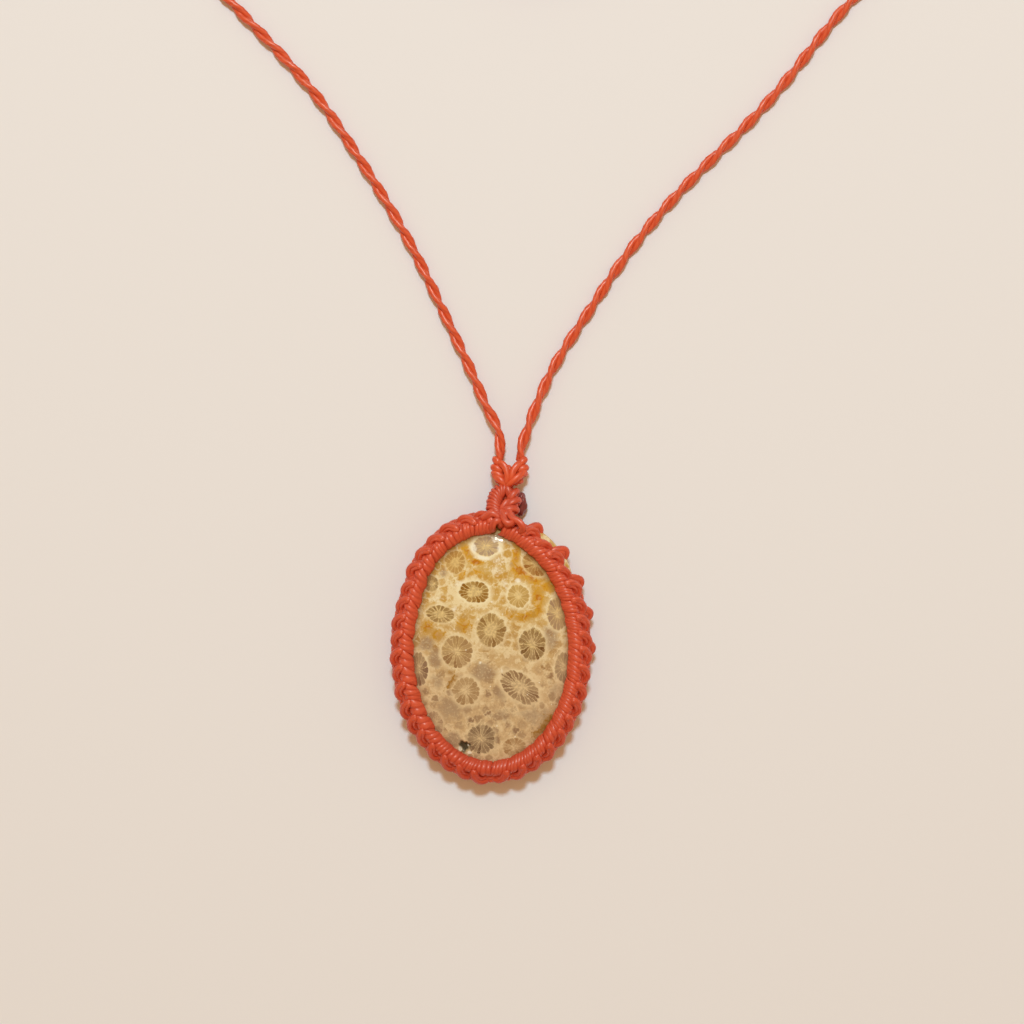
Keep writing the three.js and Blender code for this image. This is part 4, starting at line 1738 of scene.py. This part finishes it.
    def pattern(self) -> bpy.types.NodeTree:
        """Build the pattern of cut corallites in their ground, with stains and pale patches over it.

        Returns:
            The node group.
        """
        vectors = ("Place", "Cup", "Look", "Shape", "Field")
        graph, given, out = new_group(
            "cut_coral",
            dict.fromkeys(vectors, "NodeSocketVector") | {"Fill": "NodeSocketColor"},
            {"Colour": "NodeSocketColor"},
        )
        radius, filled, tone = self.wedges(graph, given)
        colour, cloud, grain, net, low = self.ground(graph, given)
        septum = graph.mix(low, self.upper_septum, self.lower_septum)
        _, contrast, wall = graph.split(given["Look"])
        iron, _, pale = graph.split(given["Field"])
        stained = graph.plus(iron, graph.line(cloud, 1.1, -0.55))
        stained = graph.plus(stained, graph.line(grain, 1.3, -0.65))
        stain = graph.times(graph.ramp(stained, 0.15, 0.5), graph.line(net, 0.35, 0.65))
        ochre = graph.mix(graph.ramp(stained, 0.6, 1.0), self.iron, self.rust)
        colour = graph.mix(stain, colour, graph.mix(low, ochre, self.umber))
        ringed = graph.plus(radius, graph.line(grain, 0.5, -0.25))
        fade = graph.ramp(ringed, graph.line(wall, 0.3, 1.12), 0.94)
        walled = graph.times(fade, graph.times(wall, self.wall_share))
        colour = graph.mix(walled, colour, graph.mix(low, self.upper_wall, self.lower_wall))
        cup = graph.times(graph.ramp(radius, 1.04, 0.92), graph.times(contrast, self.cup_share))
        spongy = graph.line(graph.ramp(grain, 0.62, 0.38), 0.45, 0.1)
        colour = graph.mix(cup, colour, graph.mix(spongy, septum, given["Fill"]))
        deep = graph.mix(graph.times(tone, 0.34), given["Fill"], septum)
        deep = graph.mix(graph.ramp(grain, 0.45, 0.7, 0.2), deep, septum)
        deep = graph.mix(graph.ramp(radius, 0.7, 0.1, 0.3), deep, septum)
        colour = graph.mix(graph.times(filled, contrast), colour, deep)
        white = graph.ramp(graph.plus(pale, graph.line(grain, 1.0, -0.5)), 0.35, 0.85)
        colour = graph.mix(graph.times(white, self.pale_share), colour, self.pale)
        dots = graph.cells(given["Place"], self.dot_scale)
        lot, _, _ = graph.split(dots.outputs["Color"])
        dot = graph.times(graph.ramp(dots.outputs["Distance"], 0.16, 0.07), graph.ramp(lot, 0.9, 0.94))
        graph.feed(out["Colour"], graph.mix(graph.times(dot, self.dot_share), colour, self.pale))
        return graph.tree

    def material(self, oval: Oval) -> bpy.types.Material:
        """Make the material.

        Args:
            oval: Where the stone lies, because its pattern counts from the oval's centre.

        Returns:
            The material.
        """
        material, graph, shader = new_material(self.name)
        place = graph.scaled(graph.node("ShaderNodeTexCoord").outputs["Object"], 1 / MM)
        place = graph.vector("SUBTRACT", place, (oval.centre_x, oval.centre_y, 0.0))
        group = graph.node("ShaderNodeGroup", node_tree=self.pattern())
        graph.feed(group.inputs["Place"], graph.vector("MULTIPLY", place, (1.0, 1.0, self.depth_scale)))
        for label in ("Cup", "Look", "Shape", "Field"):
            graph.feed(group.inputs[label], graph.attribute(label.lower()).outputs["Vector"])
        graph.feed(group.inputs["Fill"], graph.attribute("fill").outputs["Color"])
        # painted shade: the pit is drawn darker where it is deeper, lighter where its crystals lie
        pit = graph.attribute("pit").outputs["Fac"]
        # painted shadow: the stone darkens along the ring's inner edge
        shaded = graph.mix(graph.attribute("rim").outputs["Fac"], group.outputs["Colour"], self.shade)
        graph.feed(shader.inputs["Base Color"], graph.mix(pit, shaded, self.pit_shade))
        shader.inputs["Roughness"].default_value = self.roughness
        return material


@dataclass
class Stone:
    """The polished cabochon."""

    shop: Workshop
    ring: Array
    finish: StoneFinish = StoneFinish()
    dome_rings: int = 130
    sectors: int = 420
    pit_x: float = -3.95
    pit_y: float = -14.35
    pit_radius: float = 0.85
    pit_depth: float = 0.8
    druse_x: float = 1.0
    druse_y: float = 16.75
    rim_reach: float = 1.0
    bulge: float = 0.068
    bulge_deg: float = 50.0
    bulge_half_deg: float = 18.0
    bulge_from: float = 0.87
    bulge_fade: float = 0.1
    druse_half_x: float = 0.75
    druse_half_y: float = 0.45
    druse_relief: float = 0.1
    pit_grain: float = 0.12
    rim_shade: float = 0.5
    rim_slope: float = 0.42
    rim_power: float = 1.2
    seed_step: float = 0.37

    def outline(self) -> tuple[Array, Array]:
        """List the stone's profile from the top of the dome to the middle of the back.

        The dome is a quarter of an ellipse; the girdle, its bevel and the back are straight.

        Returns:
            Shares of the half axes, and heights.
        """
        oval = self.shop.oval
        fall = np.linspace(0, np.pi / 2, self.dome_rings + 1)
        dome = np.sin(fall), oval.girdle_z + oval.dome_height * np.cos(fall)
        wall = np.ones(3), np.linspace(oval.girdle_z, oval.bevel_z, 4)[1:]
        bevel = np.linspace(1, oval.back_share, 4)[1:], np.linspace(oval.bevel_z, oval.back_z, 4)[1:]
        back = np.linspace(oval.back_share, 0, 14)[1:], np.full(13, oval.back_z)
        return tuple(np.concatenate(parts) for parts in zip(dome, wall, bevel, back))

    def relief(self, x: Array, y: Array, z: Array) -> tuple[Array, Array]:
        """Sink the ragged pit into the dome and raise the crystals on it.

        Args:
            x: Places across.
            y: Places along.
            z: Heights of the polished stone.

        Returns:
            Heights with the relief, and how deep each place lies in the pit, 0 to 1.
        """
        bearing = np.arctan2(y - self.pit_y, x - self.pit_x)
        ragged = 1 + 0.18 * np.sin(3 * bearing + 0.7) + 0.1 * np.sin(7 * bearing)
        near = np.hypot(x - self.pit_x, y - self.pit_y) / (self.pit_radius * ragged)
        upper = z > self.shop.oval.girdle_z
        bowl = np.clip(1 - near**2, 0, 1) ** 0.6 * upper
        across = ((x - self.druse_x) / self.druse_half_x) ** 2
        along = ((y - self.druse_y) / self.druse_half_y) ** 2
        crystal = np.exp(-across - along) * upper
        facets = np.sin(9 * x + 4 * y) * np.sin(7 * y - 5 * x + 1.0)
        z = z - self.pit_depth * bowl + self.druse_relief * crystal * facets
        return z + self.pit_grain * bowl * np.sin(11 * x) * np.sin(9 * y), bowl

    def build(self) -> bpy.types.Object:
        """Make the stone with its local bulge, its relief and the attributes that its pattern reads.

        Returns:
            The piece.
        """
        oval = self.shop.oval
        share, height = self.outline()
        turn = np.linspace(0, 2 * np.pi, self.sectors, endpoint=False)
        rim = np.clip((share[:, None] - self.bulge_from) / self.bulge_fade, 0, 1)
        swell = np.exp(-(((turn - math.radians(self.bulge_deg)) / math.radians(self.bulge_half_deg)) ** 4))
        wide = share[:, None] * (1 + self.bulge * swell * rim**2 * (3 - 2 * rim))
        x = oval.half_width * wide * np.cos(turn)
        y = oval.half_length * wide * np.sin(turn)
        z, bowl = self.relief(x, y, np.repeat(height[:, None], self.sectors, axis=1))
        vertices = np.stack([x, y, z], axis=-1).reshape(-1, 3)
        mesh = self.shop.mesh("coral_cabochon", vertices, ring_quads(len(share) - 1, self.sectors))
        self.mark(mesh, vertices[:, 0], vertices[:, 1], bowl.reshape(-1))
        made = self.shop.ready(mesh, self.finish.material(oval), "fossil_coral")
        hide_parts("stone")
        return made

    def mark(self, mesh: bpy.types.Mesh, x: Array, y: Array, bowl: Array) -> None:
        """Write the pattern's attributes to the mesh.

        Each point belongs to the corallite whose oval it is nearest to, counted in half axes.

        Args:
            mesh: The stone's mesh.
            x: Places of its vertices across.
            y: Places of its vertices along.
            bowl: How deep each vertex lies in the pit.
        """
        cups = np.array([[c.x, c.y, c.half_x, c.half_y, math.radians(c.turn_deg)] for c in CORALLITES])
        dx, dy = x[:, None] - cups[:, 0], y[:, None] - cups[:, 1]
        u = (dx * np.cos(cups[:, 4]) + dy * np.sin(cups[:, 4])) / cups[:, 2]
        v = (dy * np.cos(cups[:, 4]) - dx * np.sin(cups[:, 4])) / cups[:, 3]
        nearest = np.argmin(np.hypot(u, v), axis=1)
        every = np.arange(len(x))
        cup = np.stack([u[every, nearest], v[every, nearest], self.seed_step * nearest], axis=1)
        look = np.array([[c.septa, c.contrast, c.wall] for c in CORALLITES])[nearest]
        fill = np.array([linear(*c.fill) for c in CORALLITES])[nearest]
        inner = np.array([[c.core, c.septum] for c in CORALLITES])[nearest]
        shape = np.concatenate([np.min(np.hypot(u, v), axis=1)[:, None], inner], axis=1)
        crystals = patch_field(CRYSTALS_AND_SPARKLES, x, y)
        # painted shadow of the ring: strongest at the ring's edge and towards the top of the stone
        apart = (x[:, None] - self.ring[:, 0]) ** 2 + (y[:, None] - self.ring[:, 1]) ** 2
        away = np.sqrt(np.min(apart, axis=1))
        higher = self.rim_shade + self.rim_slope * np.clip(y / self.shop.oval.half_length, -1, 1)
        rim = np.clip(1 - away / self.rim_reach, 0, 1) ** self.rim_power * higher
        # white patches, and crystals that are partly painted highlight
        soft = np.stack([patch_field(patches, x, y) for patches in (IRON, GREY, PALE + CRYSTALS_AND_SPARKLES)], axis=1)
        for name, kind, key, values in (
            ("cup", "FLOAT_VECTOR", "vector", cup),
            ("look", "FLOAT_VECTOR", "vector", look),
            ("fill", "FLOAT_COLOR", "color", fill),
            ("shape", "FLOAT_VECTOR", "vector", shape),
            ("field", "FLOAT_VECTOR", "vector", soft),
            # painted shade in the pit: deeper places darker, crystals lighter
            ("pit", "FLOAT", "value", np.clip(bowl * 1.6 - 1.3 * crystals, 0, 1)),
            ("rim", "FLOAT", "value", rim),
        ):
            attribute = mesh.attributes.new(name, kind, "POINT")
            attribute.data.foreach_set(key, values.reshape(-1).astype(np.float32))


@dataclass(frozen=True)
class Lamp:
    """A square lamp: its place in degrees, size, power and colour, and whether it makes only glints."""

    name: str
    elevation_deg: float
    bearing_deg: float
    size: float
    power: float
    colour: tuple[float, float, float]
    glint: bool = False


@dataclass
class Studio:
    """The plain floor, soft light and the camera over the object."""

    oval: Oval
    view_x: float = 3.15
    view_y: float = 20.6
    picture_width: float = 153.6
    sharp_z: float = 4.0
    camera_height: float = 300.0
    floor_colour: Colour = linear(232, 226, 221)
    lamp_distance: float = 0.9
    lamps: tuple[Lamp, ...] = (
        Lamp("key_lamp", 65.0, 0.0, 0.1, 5.38, (0.54, 0.81, 1.0)),
        Lamp("soft_lamp", 60.0, 0.0, 0.5, 0.74, (1.0, 0.7, 0.45)),
        Lamp("glint_lamp", 47.0, 6.0, 0.13, 5.6, (1.0, 0.95, 0.88), glint=True),
    )
    room_colour: Colour = (1.0, 0.65, 0.35, 1.0)
    room_strength: float = 0.59
    floor_half: float = 1.5
    floor_roughness: float = 0.9
    floor_specular: float = 0.1
    near_clip: float = 0.01

    def floor(self) -> None:
        """Lay the floor."""
        half = self.floor_half
        corners = [(-half, -half, 0), (half, -half, 0), (half, half, 0), (-half, half, 0)]
        mesh = bpy.data.meshes.new("floor")
        mesh.from_pydata(corners, [], [(0, 1, 2, 3)])
        material, _, shader = new_material("floor_paper")
        shader.inputs["Base Color"].default_value = self.floor_colour
        shader.inputs["Roughness"].default_value = self.floor_roughness
        shader.inputs["Specular IOR Level"].default_value = self.floor_specular
        mesh.materials.append(material)
        made = bpy.data.objects.new("floor", mesh)
        bpy.context.scene.collection.objects.link(made)

    def hang(self, lamp: Lamp) -> None:
        """Hang a square lamp beyond the bail, pointing at the pendant.

        Args:
            lamp: The lamp.
        """
        light = bpy.data.lights.new(lamp.name, "AREA")
        light.size = lamp.size
        light.energy = lamp.power
        light.color = lamp.colour
        made = bpy.data.objects.new(lamp.name, light)
        rise, turn = math.radians(lamp.elevation_deg), math.radians(lamp.bearing_deg)
        level = self.lamp_distance * math.cos(rise)
        height = self.lamp_distance * math.sin(rise)
        made.location = (level * math.sin(turn), level * math.cos(turn), height)
        made.rotation_euler = (rise - math.pi / 2, 0.0, -turn)
        made.visible_glossy = lamp.glint
        made.visible_diffuse = not lamp.glint
        bpy.context.scene.collection.objects.link(made)

    def light(self) -> None:
        """Set the lamps and the surrounding light."""
        for lamp in self.lamps:
            self.hang(lamp)
        world = bpy.data.worlds.new("soft_room")
        world.use_nodes = True
        background = world.node_tree.nodes["Background"]
        background.inputs["Color"].default_value = self.room_colour
        background.inputs["Strength"].default_value = self.room_strength
        bpy.context.scene.world = world
        bpy.context.scene.view_settings.view_transform = "Standard"

    def camera(self) -> None:
        """Set the camera straight over the middle of the picture."""
        data = bpy.data.cameras.new("camera")
        data.sensor_fit = "HORIZONTAL"
        data.angle = 2 * math.atan(self.picture_width / 2 / (self.camera_height - self.sharp_z))
        data.clip_start = self.near_clip
        made = bpy.data.objects.new("camera", data)
        made.location = (
            (self.oval.centre_x + self.view_x) * MM,
            (self.oval.centre_y + self.view_y) * MM,
            self.camera_height * MM,
        )
        bpy.context.scene.collection.objects.link(made)
        bpy.context.scene.camera = made

    def build(self) -> None:
        """Set up floor, light and camera."""
        self.floor()
        self.light()
        self.camera()


def main() -> None:
    """Build every piece in order."""
    logging.basicConfig(level=logging.INFO, format="%(name)s: %(message)s")
    oval = Oval.from_node("stone")
    pattern = StrandPattern().group()
    setting = CordFinish(
        "setting_waxed_cord",
        base=linear(216, 82, 48),
        deep=linear(176, 49, 26),
        pale=linear(236, 118, 86),
    )
    necklace = CordFinish(
        "neck_waxed_cord",
        base=linear(222, 84, 42),
        deep=linear(186, 54, 24),
        pale=linear(240, 122, 84),
    )
    # the fused cord end's darker colours are partly its own and partly painted shade behind the bail
    melted_and_shaded = CordFinish(
        "melted_cord",
        base=linear(126, 48, 44),
        deep=linear(88, 28, 30),
        pale=linear(144, 68, 62),
        roughness=0.35,
        bump=0.2,
    )
    shop = Workshop(oval, setting.material(pattern), necklace.material(pattern), melted_and_shaded.material(pattern))
    Studio(oval).build()
    Necklace(shop).build()
    front = KnotRow(shop, Side.FRONT, seed=7)
    Stone(shop, front.inner_edge()).build()
    front.build()
    KnotRow(shop, Side.BACK, ring_half_width=1.38, ring_half_height=0.78, ring_peak=1.0, seed=8).build()
    Bail(shop).build()
    MeltedEnd(shop).build()


if __name__ == "__main__":
    main()
